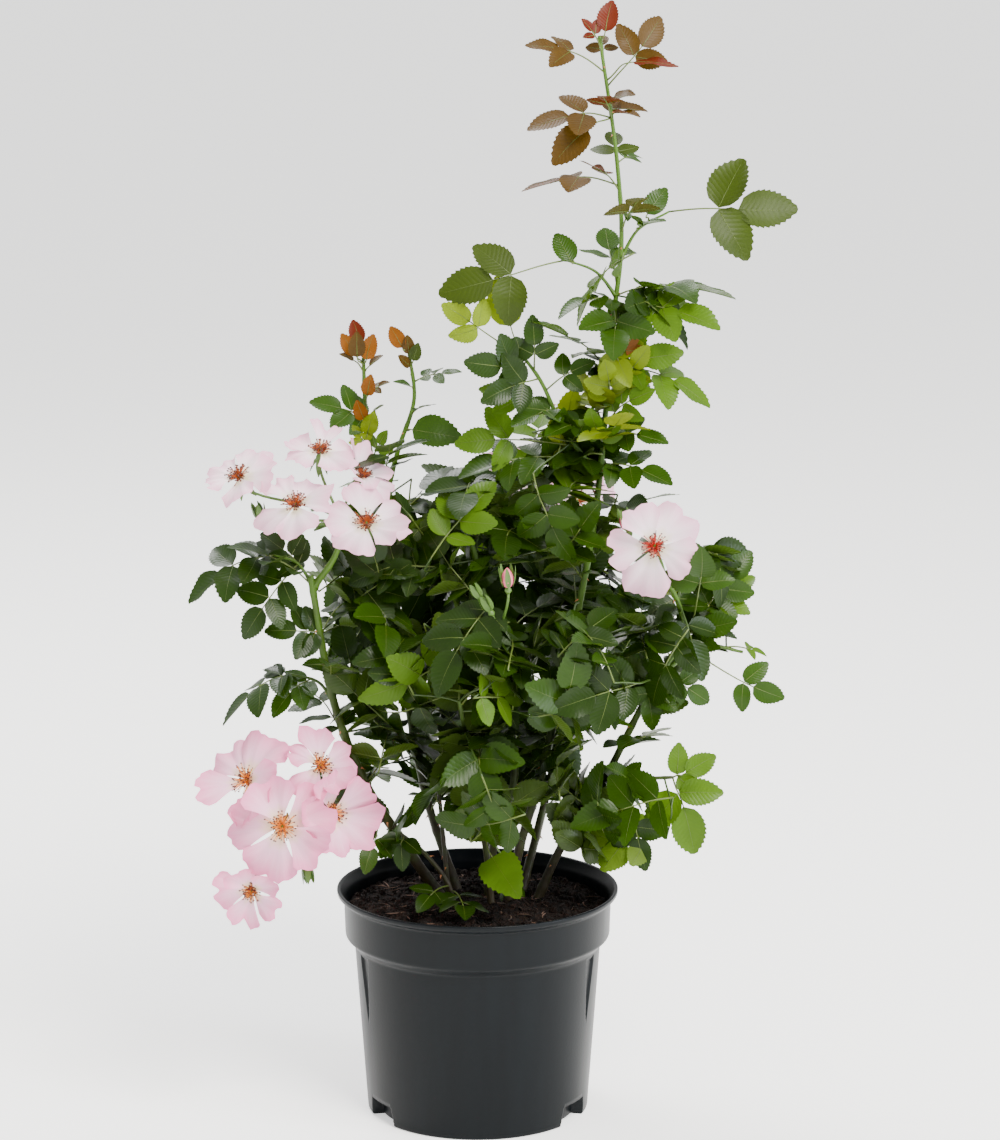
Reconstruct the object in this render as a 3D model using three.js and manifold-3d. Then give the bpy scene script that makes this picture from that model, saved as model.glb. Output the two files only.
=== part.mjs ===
// A single-flowered shrub rose in a five-litre nursery pot, as one standing assembly.
// Millimetres, +Z up. The origin is the centre of the pot's flat underside, the bloom side
// faces -Y. Every cane, bough, leaf mass and blossom mass is its own closed solid.

import * as THREE from 'three';
import { mergeVertices } from 'three/addons/utils/BufferGeometryUtils.js';
import Module from 'manifold-3d';

// ---- Driving dimensions --------------------------------------------------------------

const POT_HEIGHT = 184;
const RIM_RADIUS = 114;
const BAND_RADIUS = 108;
const BAND_FOOT = 140;
const BODY_TOP_RADIUS = 99.5;
const FOOT_RADIUS = 89.5;
const WALL = 1.8;
const FLOOR = 2.6;
const LIP = 5;
const POT_SIDES = 36;

const NOTCH_ANGLES = [-60, 60, 180];
const NOTCH_WIDTH = 32;
const NOTCH_HEIGHT = 16;
const NOTCH_DEPTH = 9;

const SOIL_TOP = 169;
const SOIL_SIDES = 28;

const GAP = 0.5;
const CANE_SIDES = 6;
const BOUGH_SIDES = 5;
const STEP_LENGTH = 56;
const ROUNDING = 0.2;

// ---- Finishes ------------------------------------------------------------------------

function finish(color, roughness) {
  return new THREE.MeshStandardMaterial({ color, roughness, metalness: 0 });
}

const FINISHES = {
  pot: finish('#2b2f31', 0.42),
  soil: finish('#24160f', 0.95),
  bark: finish('#5d6b2c', 0.6),
  leaf: finish('#2c4f14', 0.45),
  young: finish('#8a5a22', 0.5),
  petal: finish('#f2d9e2', 0.6),
};

// ---- Solids --------------------------------------------------------------------------

const wasm = await Module();
wasm.setup();

function solidFrom(geometry) {
  const bare = geometry.clone();
  bare.deleteAttribute('normal');
  bare.deleteAttribute('uv');
  const merged = mergeVertices(bare, 1e-4);
  const mesh = new wasm.Mesh({
    numProp: 3,
    vertProperties: new Float32Array(merged.attributes.position.array),
    triVerts: new Uint32Array(merged.index.array),
  });
  return new wasm.Manifold(mesh);
}

function geometryFrom(solid) {
  const { vertProperties, triVerts } = solid.getMesh();
  const geometry = new THREE.BufferGeometry();
  geometry.setAttribute('position', new THREE.BufferAttribute(vertProperties, 3));
  geometry.setIndex(new THREE.BufferAttribute(triVerts, 1));
  geometry.computeVertexNormals();
  return geometry;
}

function largestBody(solid) {
  const bodies = solid.decompose();
  return bodies.reduce((best, body) => (body.volume() > best.volume() ? body : best));
}

function boxesMeet(a, b) {
  const p = a.boundingBox();
  const q = b.boundingBox();
  return [0, 1, 2].every((k) => p.min[k] < q.max[k] && q.min[k] < p.max[k]);
}

// What is left of a solid once its neighbours are taken out of it, as one body.
function cutRound(solid, neighbours) {
  const near = neighbours.filter((other) => boxesMeet(solid, other));
  const rest = near.reduce((left, other) => left.subtract(other), solid);
  return largestBody(rest).simplify(ROUNDING);
}

// ---- Pot and soil --------------------------------------------------------------------

function ring(points, sides) {
  const profile = points.map(([radius, height]) => new THREE.Vector2(radius, height));
  return solidFrom(new THREE.LatheGeometry(profile, sides).rotateX(Math.PI / 2));
}

// The wall is carried from the axis out along the underside, up the tapered body, out over
// the shoulder and the band to the lip, and back down the inside to the axis.
function potProfile() {
  return [
    [0, 0],
    [FOOT_RADIUS, 0],
    [BODY_TOP_RADIUS, BAND_FOOT - 2],
    [BAND_RADIUS - 1, BAND_FOOT + 9],
    [BAND_RADIUS, POT_HEIGHT - LIP - 2],
    [RIM_RADIUS - 1, POT_HEIGHT - LIP],
    [RIM_RADIUS, POT_HEIGHT - LIP / 2],
    [RIM_RADIUS - 1.5, POT_HEIGHT],
    [RIM_RADIUS - 3.5, POT_HEIGHT - 0.5],
    [BAND_RADIUS - WALL, POT_HEIGHT - LIP - 3],
    [BAND_RADIUS - WALL - 1.5, BAND_FOOT + 10],
    [BODY_TOP_RADIUS - WALL, BAND_FOOT],
    [FOOT_RADIUS - WALL, FLOOR],
    [0, FLOOR],
  ];
}

function drainageNotch(angle) {
  const tall = NOTCH_HEIGHT * 2;
  const block = new THREE.BoxGeometry(NOTCH_WIDTH, NOTCH_DEPTH * 2, tall);
  block.translate(0, -FOOT_RADIUS - 0.5, 0);
  return solidFrom(block.rotateZ(THREE.MathUtils.degToRad(angle)));
}

function makePot() {
  const wall = ring(potProfile(), POT_SIDES);
  return NOTCH_ANGLES.reduce((pot, angle) => pot.subtract(drainageNotch(angle)), wall);
}

// The root ball fills the pot to just under the rim and clears the notches at its foot.
function makeSoil() {
  const footClear = FOOT_RADIUS - NOTCH_DEPTH - 3;
  const low = NOTCH_HEIGHT + 3;
  const inside = BODY_TOP_RADIUS - WALL - 1;
  const slope = (BODY_TOP_RADIUS - FOOT_RADIUS) / BAND_FOOT;
  return ring(
    [
      [0, FLOOR + GAP],
      [footClear, FLOOR + GAP],
      [footClear, low],
      [FOOT_RADIUS - WALL - 1 + slope * low, low],
      [inside, BAND_FOOT],
      [BAND_RADIUS - WALL - 3, BAND_FOOT + 12],
      [BAND_RADIUS - WALL - 3, SOIL_TOP - 1],
      [BAND_RADIUS - WALL - 8, SOIL_TOP],
      [0, SOIL_TOP],
    ],
    SOIL_SIDES,
  );
}

// ---- Limbs ---------------------------------------------------------------------------

// A limb is a cylinder that tapers from its foot to its tip, bent along a smooth curve.
// spare widens it all round. A cane's foot is cut level, at the surface of the soil.
function limb({ through, foot, tip, level = false, sides }, spare = 0) {
  const curve = new THREE.CatmullRomCurve3(through.map((p) => new THREE.Vector3(...p)));
  const steps = Math.max(4, Math.round(curve.getLength() / STEP_LENGTH));
  const frames = curve.computeFrenetFrames(steps);
  const geometry = new THREE.CylinderGeometry(tip + spare, foot + spare, steps, sides, steps);
  const at = geometry.attributes.position;
  for (let i = 0; i < at.count; i += 1) {
    const step = Math.round(at.getY(i) + steps / 2);
    const side = frames.binormals[step].clone();
    const up = frames.normals[step].clone();
    if (level && step === 0) {
      up.setZ(0).normalize();
      side.crossVectors(new THREE.Vector3(0, 0, 1), up);
    }
    const place = curve.getPointAt(step / steps);
    place.addScaledVector(side, at.getX(i));
    place.addScaledVector(up, at.getZ(i));
    at.setXYZ(i, place.x, place.y, place.z);
  }
  return solidFrom(geometry);
}

const CANE_FOOT = SOIL_TOP + GAP;

// Canes rise from the soil. Each keeps its whole length, and the leaf masses are cut round it.
const CANES = {
  leading_cane: {
    foot: 4,
    tip: 1.5,
    through: [
      [24, 8, CANE_FOOT], [34, 5, 214], [52, 0, 280], [93, -2, 486], [106, 0, 637],
      [113, 0, 704], [109, 0, 770], [95, 0, 866],
    ],
  },
  left_cane: {
    foot: 4.8,
    tip: 3,
    through: [[-26, 26, CANE_FOOT], [-61, 12, 218], [-89, 0, 267], [-114, -14, 340], [-131, -32, 447]],
  },
  front_left_stem: {
    foot: 2.4,
    tip: 1.6,
    through: [[-16, -14, CANE_FOOT], [-24, -10, 189], [-43, -14, 216], [-64, -22, 236]],
  },
  forked_stem: {
    foot: 2.2,
    tip: 1.6,
    through: [[-22, 2, CANE_FOOT], [-26, 4, 205], [-30, 10, 247], [-34, 20, 290]],
  },
  centre_cane: {
    foot: 3.8,
    tip: 2.5,
    through: [[8, 18, CANE_FOOT], [14, 15, 220], [30, 10, 274], [18, 0, 360], [-4, -10, 470]],
  },
  front_cane: {
    foot: 3,
    tip: 2,
    through: [[12, -6, CANE_FOOT], [8, -4, 206], [0, -16, 260], [-14, -46, 350]],
  },
  right_cane: {
    foot: 3.8,
    tip: 2.5,
    through: [[46, 18, CANE_FOOT], [66, 20, 207], [98, 10, 262], [136, -12, 345], [172, -6, 404]],
  },
  back_cane: {
    foot: 4,
    tip: 2.4,
    through: [[10, 44, CANE_FOOT], [12, 70, 240], [24, 104, 360], [44, 104, 500]],
  },
  back_left_cane: {
    foot: 3.8,
    tip: 2.2,
    through: [[-14, 40, CANE_FOOT], [-44, 58, 250], [-66, 48, 400], [-72, 22, 524]],
  },
  back_right_cane: {
    foot: 3.8,
    tip: 2.2,
    through: [[34, 36, CANE_FOOT], [58, 66, 250], [84, 98, 370], [92, 134, 450]],
  },
};

// Boughs leave a cane and end where they enter the mass that they bear.
const BOUGHS = {
  left_leaf_bough: {
    from: 'left_cane', foot: 1.6, tip: 0.9,
    through: [[-128, -28, 436], [-142, -30, 457], [-160, -30, 463]],
  },
  left_lower_leaf_bough: {
    from: 'left_cane', foot: 1.6, tip: 0.9,
    through: [[-113, -14, 337], [-126, -16, 357], [-148, -18, 364]],
  },
  lower_bloom_bough: {
    from: 'left_cane', foot: 2.4, tip: 1.6,
    through: [[-76, 6, 240], [-90, -22, 262], [-112, -46, 268]],
  },
  upper_bloom_bough: {
    from: 'left_cane', foot: 2.8, tip: 2,
    through: [[-128, -28, 438], [-112, -38, 462], [-104, -42, 484]],
  },
  left_shoot_bough: {
    from: 'back_left_cane', foot: 2.4, tip: 1.4,
    through: [[-71, 28, 500], [-82, 21, 524], [-88, 20, 566]],
  },
  right_shoot_bough: {
    from: 'back_left_cane', foot: 2.2, tip: 1.3,
    through: [[-71, 26, 508], [-62, 25, 540], [-50, 25, 578]],
  },
  mid_leaf_bough: {
    from: 'leading_cane', foot: 2.4, tip: 1.3,
    through: [[96, -1, 520], [67, -5, 562], [50, -8, 598], [36, -10, 618]],
  },
  upper_left_spray_bough: {
    from: 'leading_cane', foot: 1.5, tip: 0.8,
    through: [[109, 0, 664], [93, 0, 683], [70, 0, 692]],
  },
  upper_right_spray_bough: {
    from: 'leading_cane', foot: 1.5, tip: 0.8,
    through: [[113, 0, 694], [126, 0, 716], [150, 0, 730]],
  },
  right_tip_bough: {
    from: 'right_cane', foot: 2, tip: 1.2,
    through: [[150, -10, 366], [180, -4, 384], [216, 0, 377]],
  },
  right_bloom_bough: {
    from: 'right_cane', foot: 2.4, tip: 1.8,
    through: [[166, -8, 396], [158, -34, 426], [146, -56, 452]],
  },
  lower_right_spray_bough: {
    from: 'right_cane', foot: 2, tip: 1.2,
    through: [[98, 10, 262], [126, -12, 276], [156, -20, 280]],
  },
};

function makeCane(spec, spare) {
  return limb({ ...spec, level: true, sides: CANE_SIDES }, spare);
}

function makeBough(spec, spare) {
  return limb({ ...spec, sides: BOUGH_SIDES }, spare);
}

// ---- Masses --------------------------------------------------------------------------

// Unit waves that swell and pinch a ball, so that each mass has an uneven skin of its own.
function waves(seed, depth) {
  const count = 4;
  return (n) => {
    let swell = 1;
    for (let k = 1; k <= count; k += 1) {
      const turn = seed * 2.4 + k * 1.9;
      const lean = n.x * Math.cos(turn) + n.y * Math.sin(turn * 1.3) + n.z * Math.sin(turn);
      swell += (depth / k) * Math.sin((1.6 + k) * lean + seed + k);
    }
    return swell;
  };
}

// A mass is a ball, swollen by its waves, leaned over sideways, and then fitted so that it
// reaches exactly `reach` either side of its centre on each axis. spare widens it all round.
function mass({ centre, reach, lean = 0, detail = 2, depth = 0.16, seed }, spare = 0) {
  const ball = new THREE.IcosahedronGeometry(1, detail);
  const at = ball.attributes.position;
  const swell = waves(seed, depth);
  const point = new THREE.Vector3();
  for (let i = 0; i < at.count; i += 1) {
    point.fromBufferAttribute(at, i);
    point.multiplyScalar(swell(point.clone().normalize()));
    at.setXYZ(i, point.x * reach[0], point.y * reach[1], point.z * reach[2]);
  }
  ball.rotateY(THREE.MathUtils.degToRad(lean));
  ball.computeBoundingBox();
  const size = ball.boundingBox.getSize(new THREE.Vector3()).toArray();
  const middle = ball.boundingBox.getCenter(new THREE.Vector3());
  ball.translate(-middle.x, -middle.y, -middle.z);
  ball.scale(...reach.map((r, k) => (2 * (r + spare)) / size[k]));
  ball.translate(...centre);
  return solidFrom(ball);
}

// Masses of mature leaf, in the order in which they keep their shape where they crowd.
const LEAF_MASSES = {
  tip_of_left_spray: { centre: [-195, -30, 435], reach: [35, 12, 40], lean: -40, detail: 1 },
  left_drooping_leaves: { centre: [-174, -20, 350], reach: [32, 12, 28], lean: -36, detail: 1 },
  top_left_spray: { centre: [23, 0, 690], reach: [54, 14, 27], lean: -14, detail: 1 },
  top_right_spray: { centre: [199, 0, 743], reach: [56, 14, 27], lean: -4, detail: 1 },
  middle_left_leaves: { centre: [8, -10, 630], reach: [34, 18, 48], detail: 1 },
  right_tip_leaves: { centre: [228, 0, 366], reach: [20, 14, 24], detail: 1 },
  lower_right_spray: { centre: [167, -20, 265], reach: [23, 14, 41], detail: 1 },
  rim_leaves: { centre: [-80, -26, 214], reach: [18, 12, 18], detail: 1 },
  front_low_leaf: { centre: [27, -70, 221], reach: [18, 9, 24], detail: 1 },
  soil_leaves: { centre: [-14, -62, 186], reach: [30, 20, 14], detail: 1 },
  whorl_leaves: { centre: [134, 0, 648], reach: [66, 42, 26] },
  upper_leaves: { centre: [99, 0, 582], reach: [50, 44, 40] },
  upper_left_leaves: { centre: [-82, 6, 468], reach: [46, 56, 50] },
  mid_left_leaves: { centre: [-80, -8, 376], reach: [46, 66, 48] },
  low_left_leaves: { centre: [-80, -4, 276], reach: [44, 60, 54] },
  upper_centre_leaves: { centre: [-2, -14, 478], reach: [44, 60, 52] },
  mid_centre_leaves: { centre: [-8, -62, 386], reach: [54, 54, 50] },
  low_centre_leaves: { centre: [2, -52, 286], reach: [58, 54, 48] },
  upper_right_leaves: { centre: [70, -6, 500], reach: [46, 58, 58] },
  mid_right_leaves: { centre: [74, -58, 386], reach: [52, 54, 56] },
  outer_right_leaves: { centre: [152, -6, 380], reach: [46, 60, 44] },
  low_right_leaves: { centre: [95, -30, 282], reach: [42, 62, 62] },
  shoulder_leaves: { centre: [180, 10, 440], reach: [38, 44, 34], detail: 1 },
  back_left_leaves: { centre: [-74, 96, 380], reach: [62, 54, 78] },
  back_centre_leaves: { centre: [6, 112, 440], reach: [60, 56, 84] },
  back_right_leaves: { centre: [92, 96, 384], reach: [64, 56, 80] },
  back_low_leaves: { centre: [12, 96, 276], reach: [88, 56, 54] },
};

// Masses of young bronze leaf at the tips of the strongest shoots.
const YOUNG_MASSES = {
  leading_tip: { centre: [95, 0, 855], reach: [56, 26, 38], lean: 20 },
  leading_bronze_leaves: { centre: [84, 0, 776], reach: [50, 32, 38], lean: 14 },
  left_shoot_leaves: { centre: [-99, 20, 592], reach: [32, 18, 50], detail: 1 },
  right_shoot_leaves: { centre: [-42, 25, 588], reach: [27, 18, 48], detail: 1 },
};

const BLOSSOM_MASSES = {
  upper_left_blossom: { centre: [-132, -42, 506], reach: [81, 30, 54], lean: 10 },
  lower_left_blossom: { centre: [-153, -60, 248], reach: [63, 28, 78], lean: -8 },
  right_blossom: { centre: [136, -62, 475], reach: [42, 16, 34], detail: 1 },
  back_blossom: { centre: [52, 168, 470], reach: [60, 22, 36], detail: 1 },
};

// ---- Assembly ------------------------------------------------------------------------

const rose = new THREE.Group();

function place(name, solid, slot) {
  const node = new THREE.Mesh(geometryFrom(solid), FINISHES[slot]);
  node.name = name;
  rose.add(node);
}

place('pot', makePot(), 'pot');
place('soil', makeSoil(), 'soil');

const caneRoom = [];
for (const [name, spec] of Object.entries(CANES)) {
  place(name, cutRound(makeCane(spec, 0), caneRoom), 'bark');
  caneRoom.push(makeCane(spec, GAP));
}

const massRoom = [];
const kinds = [[BLOSSOM_MASSES, 'petal'], [YOUNG_MASSES, 'young'], [LEAF_MASSES, 'leaf']];
let seed = 0;
for (const [masses, slot] of kinds) {
  for (const [name, spec] of Object.entries(masses)) {
    seed += 1;
    const crowding = [...caneRoom, ...massRoom];
    place(name, cutRound(mass({ ...spec, seed }), crowding), slot);
    massRoom.push(mass({ ...spec, seed }, GAP));
  }
}

const boughRoom = [];
for (const [name, spec] of Object.entries(BOUGHS)) {
  const bough = makeBough(spec, 0);
  place(name, cutRound(bough, [...caneRoom, ...massRoom, ...boughRoom]), 'bark');
  boughRoom.push(makeBough(spec, GAP));
}

export default rose;
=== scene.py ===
"""A single-flowered shrub rose in its nursery pot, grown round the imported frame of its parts.

Lengths are worked out in millimetres and put into the meshes in metres, +Z up, with the origin at
the centre of the pot's flat underside and the bloom side towards -Y.
"""

# %% [markdown]
# # A shrub rose in its nursery pot
# The frame holds the plant as plain solids: a pot, its compost, the canes and the boughs, and the
# masses of leaf and blossom. Here each of them is replaced by what it stands for. The leaves and
# twigs are grown by a seeded rule, so that every run gives the same plant, and each kind of thing
# is joined into one piece of mesh worked out with numpy.

import math

import bpy
import numpy as np
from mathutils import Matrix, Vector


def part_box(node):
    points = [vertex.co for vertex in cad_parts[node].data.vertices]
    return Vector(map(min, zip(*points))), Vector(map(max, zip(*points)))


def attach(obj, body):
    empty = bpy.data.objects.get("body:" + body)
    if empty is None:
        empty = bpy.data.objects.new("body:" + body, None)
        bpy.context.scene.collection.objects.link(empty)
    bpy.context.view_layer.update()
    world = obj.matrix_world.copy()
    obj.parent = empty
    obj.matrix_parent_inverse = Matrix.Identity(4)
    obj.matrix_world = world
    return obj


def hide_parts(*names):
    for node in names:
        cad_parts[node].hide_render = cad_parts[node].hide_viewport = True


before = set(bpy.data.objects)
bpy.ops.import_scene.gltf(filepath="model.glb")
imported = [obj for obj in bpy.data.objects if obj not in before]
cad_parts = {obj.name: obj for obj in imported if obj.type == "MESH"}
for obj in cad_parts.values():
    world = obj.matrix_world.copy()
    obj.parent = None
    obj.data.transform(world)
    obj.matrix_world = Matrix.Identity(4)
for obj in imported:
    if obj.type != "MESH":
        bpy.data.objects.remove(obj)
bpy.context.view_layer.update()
MM = 0.001
UP = np.array([0.0, 0.0, 1.0])
FRONT = np.array([0.0, -1.0, 0.0])
dice = np.random.default_rng(20)
print("nodes in the frame:", len(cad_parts))

# %% [markdown]
# ## Small tools
# Everything below is built from a few helpers: some turn a hex colour into the linear numbers that
# the renderer works in, add a shader node and start a material, and the others handle shapes. A
# shape is four arrays: its points, its four-sided faces, its triangles and a pair of surface
# coordinates for each point. Working on whole arrays keeps the script quick, even with a hundred
# thousand points.

# %% Colours and nodes


def linear(hex_colour):
    """An sRGB hex value as linear red, green, blue and a full alpha, by the sRGB curve."""
    parts = [int(hex_colour[i : i + 2], 16) / 255 for i in (1, 3, 5)]
    curved = [c / 12.92 if c <= 0.04045 else ((c + 0.055) / 1.055) ** 2.4 for c in parts]
    return (*curved, 1.0)


def add(tree, kind, inputs=None, **settings):
    """Adds a node with its settings. inputs gives each socket a number, a colour or a link."""
    made = tree.nodes.new(kind)
    for name, value in settings.items():
        setattr(made, name, value)
    for name, value in (inputs or {}).items():
        if isinstance(value, bpy.types.NodeSocket):
            tree.links.new(value, made.inputs[name])
        else:
            made.inputs[name].default_value = value
    return made


def new_material(name, **constants):
    """A Principled material. constants are set on the shader's own sockets, _ for a space."""
    material = bpy.data.materials.new(name)
    material.use_nodes = True
    shader = material.node_tree.nodes["Principled BSDF"]
    for socket, value in constants.items():
        shader.inputs[socket.replace("_", " ")].default_value = value
    return material, material.node_tree, shader


def plain_material(name, colour, roughness):
    """A Principled material of one colour all over."""
    return new_material(name, Base_Color=linear(colour), Roughness=roughness)[0]


def set_stops(ramp, *stops):
    """Gives a colour ramp its stops, each a position and a hex colour, from left to right."""
    elements = ramp.color_ramp.elements
    for position, _ in stops[1:-1]:
        elements.new(position)
    for element, (position, colour) in zip(elements, stops):
        element.position, element.color = position, linear(colour)


def let_light_through(tree, shader, share, colour):
    """Makes a thin sheet: a share of its skin passes the light that falls on its other side."""
    glow = add(tree, "ShaderNodeBsdfTranslucent", {"Color": colour})
    mixed = add(tree, "ShaderNodeMixShader", {0: share, 1: shader.outputs[0], 2: glow.outputs[0]})
    tree.links.new(mixed.outputs[0], tree.nodes["Material Output"].inputs["Surface"])


print("mid grey, #808080, in linear light:", round(linear("#808080")[0], 3))

# %% Shapes


def unit(vectors):
    """Vectors of length one, along the last axis."""
    size = np.linalg.norm(vectors, axis=-1, keepdims=True)
    return vectors / np.maximum(size, 1e-9)


def join(shapes):
    """One shape out of many: their arrays end to end, with the faces' indices moved on."""
    starts = np.cumsum([0] + [len(s[0]) for s in shapes])
    points = np.concatenate([s[0] for s in shapes])
    quads = np.concatenate([s[1] + start for s, start in zip(shapes, starts)])
    triangles = np.concatenate([s[2] + start for s, start in zip(shapes, starts)])
    uv = np.concatenate([s[3] for s in shapes])
    return points, quads, triangles, uv


def copies(points, quads, triangles, uv):
    """K bent copies of one shape, points being K x N x 3, as a single shape."""
    count, size = points.shape[:2]
    steps = (np.arange(count) * size)[:, None, None]
    return (
        points.reshape(-1, 3),
        (quads[None] + steps).reshape(-1, 4),
        (triangles[None] + steps).reshape(-1, 3),
        np.tile(uv, (count, 1)),
    )


def grid(rows, columns, wrap=False):
    """The quads of a grid of points, row by row, and each point's place along and across."""
    row = np.arange(rows - 1)[:, None]
    column = np.arange(columns if wrap else columns - 1)[None]
    following = (column + 1) % columns
    corners = [
        row * columns + column,
        row * columns + following,
        (row + 1) * columns + following,
        (row + 1) * columns + column,
    ]
    quads = np.stack(corners, -1).reshape(-1, 4)
    along, across = np.meshgrid(np.linspace(0, 1, rows), np.linspace(0, 1, columns), indexing="ij")
    return quads, along.ravel(), across.ravel()


NO_TRIANGLES = np.zeros((0, 3), int)


def new_piece(name, shape, material, nodes=(), smooth=True):
    """Puts a shape in millimetres into a mesh that rides on the plant and replaces nodes."""
    points, quads, triangles, uv = shape
    mesh = bpy.data.meshes.new(name)
    corners = np.concatenate([quads.ravel(), triangles.ravel()]).astype(np.int32)
    sizes = np.concatenate([np.full(len(quads), 4), np.full(len(triangles), 3)])
    starts = np.concatenate([[0], np.cumsum(sizes)[:-1]]).astype(np.int32)
    mesh.vertices.add(len(points))
    mesh.vertices.foreach_set("co", (points * MM).astype(np.float32).ravel())
    mesh.loops.add(len(corners))
    mesh.loops.foreach_set("vertex_index", corners)
    mesh.polygons.add(len(sizes))
    mesh.polygons.foreach_set("loop_start", starts)
    mesh.polygons.foreach_set("use_smooth", np.full(len(sizes), smooth))
    layer = mesh.uv_layers.new(name="UVMap")
    layer.data.foreach_set("uv", uv[corners].astype(np.float32).ravel())
    mesh.update(calc_edges=True)
    mesh.validate()
    mesh.materials.append(material)
    made = bpy.data.objects.new(name, mesh)
    bpy.context.scene.collection.objects.link(made)
    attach(made, "root")
    if nodes:
        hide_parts(*nodes)
    print(f"{name}: {len(quads) * 2 + len(triangles)} triangles")
    return made


def tubes(paths, radii, sides):
    """Many round tubes at once: K paths of N points, and a radius for each point or ring corner.

    A ring lies square to its path: centre + radius x (cos a x side + sin a x lift), where side is
    across the path and lift is across both. Each end is closed by a fan round its centre.
    """
    paths, radii = np.asarray(paths, float), np.asarray(radii, float)
    count, length = radii.shape[:2]
    radii = np.broadcast_to(radii.reshape(count, length, -1), (count, length, sides))
    along = unit(np.gradient(paths, axis=1))
    steady = np.eye(3)[np.abs(along.mean(1)).argmin(1)][:, None]
    side = unit(np.cross(along, steady))
    lift = np.cross(along, side)
    angle = np.linspace(0, 2 * math.pi, sides, endpoint=False)[:, None]
    ring = np.cos(angle) * side[:, :, None] + np.sin(angle) * lift[:, :, None]
    skin = paths[:, :, None] + radii[..., None] * ring
    ends = paths[:, [0, -1]]
    points = np.concatenate([skin.reshape(count, -1, 3), ends], 1)
    quads, v, u = grid(length, sides, wrap=True)
    here = np.arange(sides)
    there = (here + 1) % sides
    foot, tip = length * sides, length * sides + 1
    last = (length - 1) * sides
    fans = [
        np.stack([np.full(sides, foot), there, here], 1),
        np.stack([np.full(sides, tip), last + here, last + there], 1),
    ]
    uv = np.concatenate([np.stack([u, v], 1), [[0.5, 0.0], [0.5, 1.0]]])
    return copies(points, quads, np.concatenate(fans), uv)


def smooth_path(points, count, fineness=24):
    """A centripetal Catmull-Rom curve through points, as count points an even way apart.

    Each stretch is a cubic whose end slopes come from the points on both sides, weighted by the
    square roots of the gaps. It is worked out at a fineness of points first, then evened out.
    """
    points = np.asarray(points, float)
    ends = [2 * points[0] - points[1], *points, 2 * points[-1] - points[-2]]
    t = np.linspace(0, 1, fineness, endpoint=False)[:, None]
    pieces = []
    for p0, p1, p2, p3 in zip(ends, ends[1:], ends[2:], ends[3:]):
        d0, d1, d2 = (math.sqrt(np.linalg.norm(b - a)) for a, b in ((p0, p1), (p1, p2), (p2, p3)))
        m1 = ((p1 - p0) / d0 - (p2 - p0) / (d0 + d1) + (p2 - p1) / d1) * d1
        m2 = ((p2 - p1) / d1 - (p3 - p1) / (d1 + d2) + (p3 - p2) / d2) * d1
        a, b = 2 * (p1 - p2) + m1 + m2, 3 * (p2 - p1) - 2 * m1 - m2
        pieces.append(((a * t + b) * t + m1) * t + p1)
    dense = np.concatenate([*pieces, points[-1:]])
    run = np.concatenate([[0], np.cumsum(np.linalg.norm(np.diff(dense, axis=0), axis=1))])
    even = np.linspace(0, run[-1], count)
    return np.stack([np.interp(even, run, dense[:, k]) for k in range(3)], 1)


# %% [markdown]
# ## The pot
# The real pot is blow-moulded from recycled polypropylene: one thin wall, a tall rim band that
# stacks on the shoulder below it, a rolled lip, and drainage notches bitten out of the foot. It
# could be lathed and cut with booleans, but a surface of turn and height is cleaner: the profile
# gives the radius all round, and the notches and the shallow grooves are taken off that radius
# where they fall.

# %% The pot's surface
POT_HEIGHT = 184.0
RIM_RADIUS = 114.0
BAND_RADIUS = 108.0
BAND_FOOT = 140.0
BODY_RADIUS = 99.5
FOOT_RADIUS = 89.5
POT_WALL = 1.8
INSIDE_FLOOR = 3.0
# Bearings are in degrees round from the front.
NOTCH_BEARINGS = (-60, 60, 180)
NOTCH_HEIGHT = 16.0
NOTCH_DEPTH = 9.0
NOTCH_HALF_WIDTH = 11.4  # degrees at the foot, and 2.4 fewer at the ceiling
GROOVE_BEARINGS = (-66, 66, 155, 205)
GROOVE_FOOT = 80.0
GROOVE_DEPTH = 1.7
GROOVE_HALF_WIDTH = 4.4  # degrees at the band


def rounded(corners, radius, steps=5):
    """A profile with each inner corner turned by a curve that starts radius before it."""
    corners = np.asarray(corners, float)
    turned = [corners[:1]]
    t = np.linspace(0, 1, steps)[:, None]
    for before, corner, after, size in zip(corners, corners[1:], corners[2:], radius):
        reach = min(size, *(np.linalg.norm(corner - p) * 0.49 for p in (before, after)))
        enter = corner + unit(before - corner) * reach
        leave = corner + unit(after - corner) * reach
        turned.append((1 - t) ** 2 * enter + 2 * t * (1 - t) * corner + t * t * leave)
    return np.concatenate([*turned, corners[-1:]])


def step(value, low, high):
    """Nought below low, one above high and a smooth rise between them."""
    t = np.clip((value - low) / (high - low), 0, 1)
    return t * t * (3 - 2 * t)


def degrees_off(angle, bearing):
    """How many degrees each angle is from a bearing, either way."""
    return np.abs((np.degrees(angle) + 90 - bearing + 180) % 360 - 180)


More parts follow.
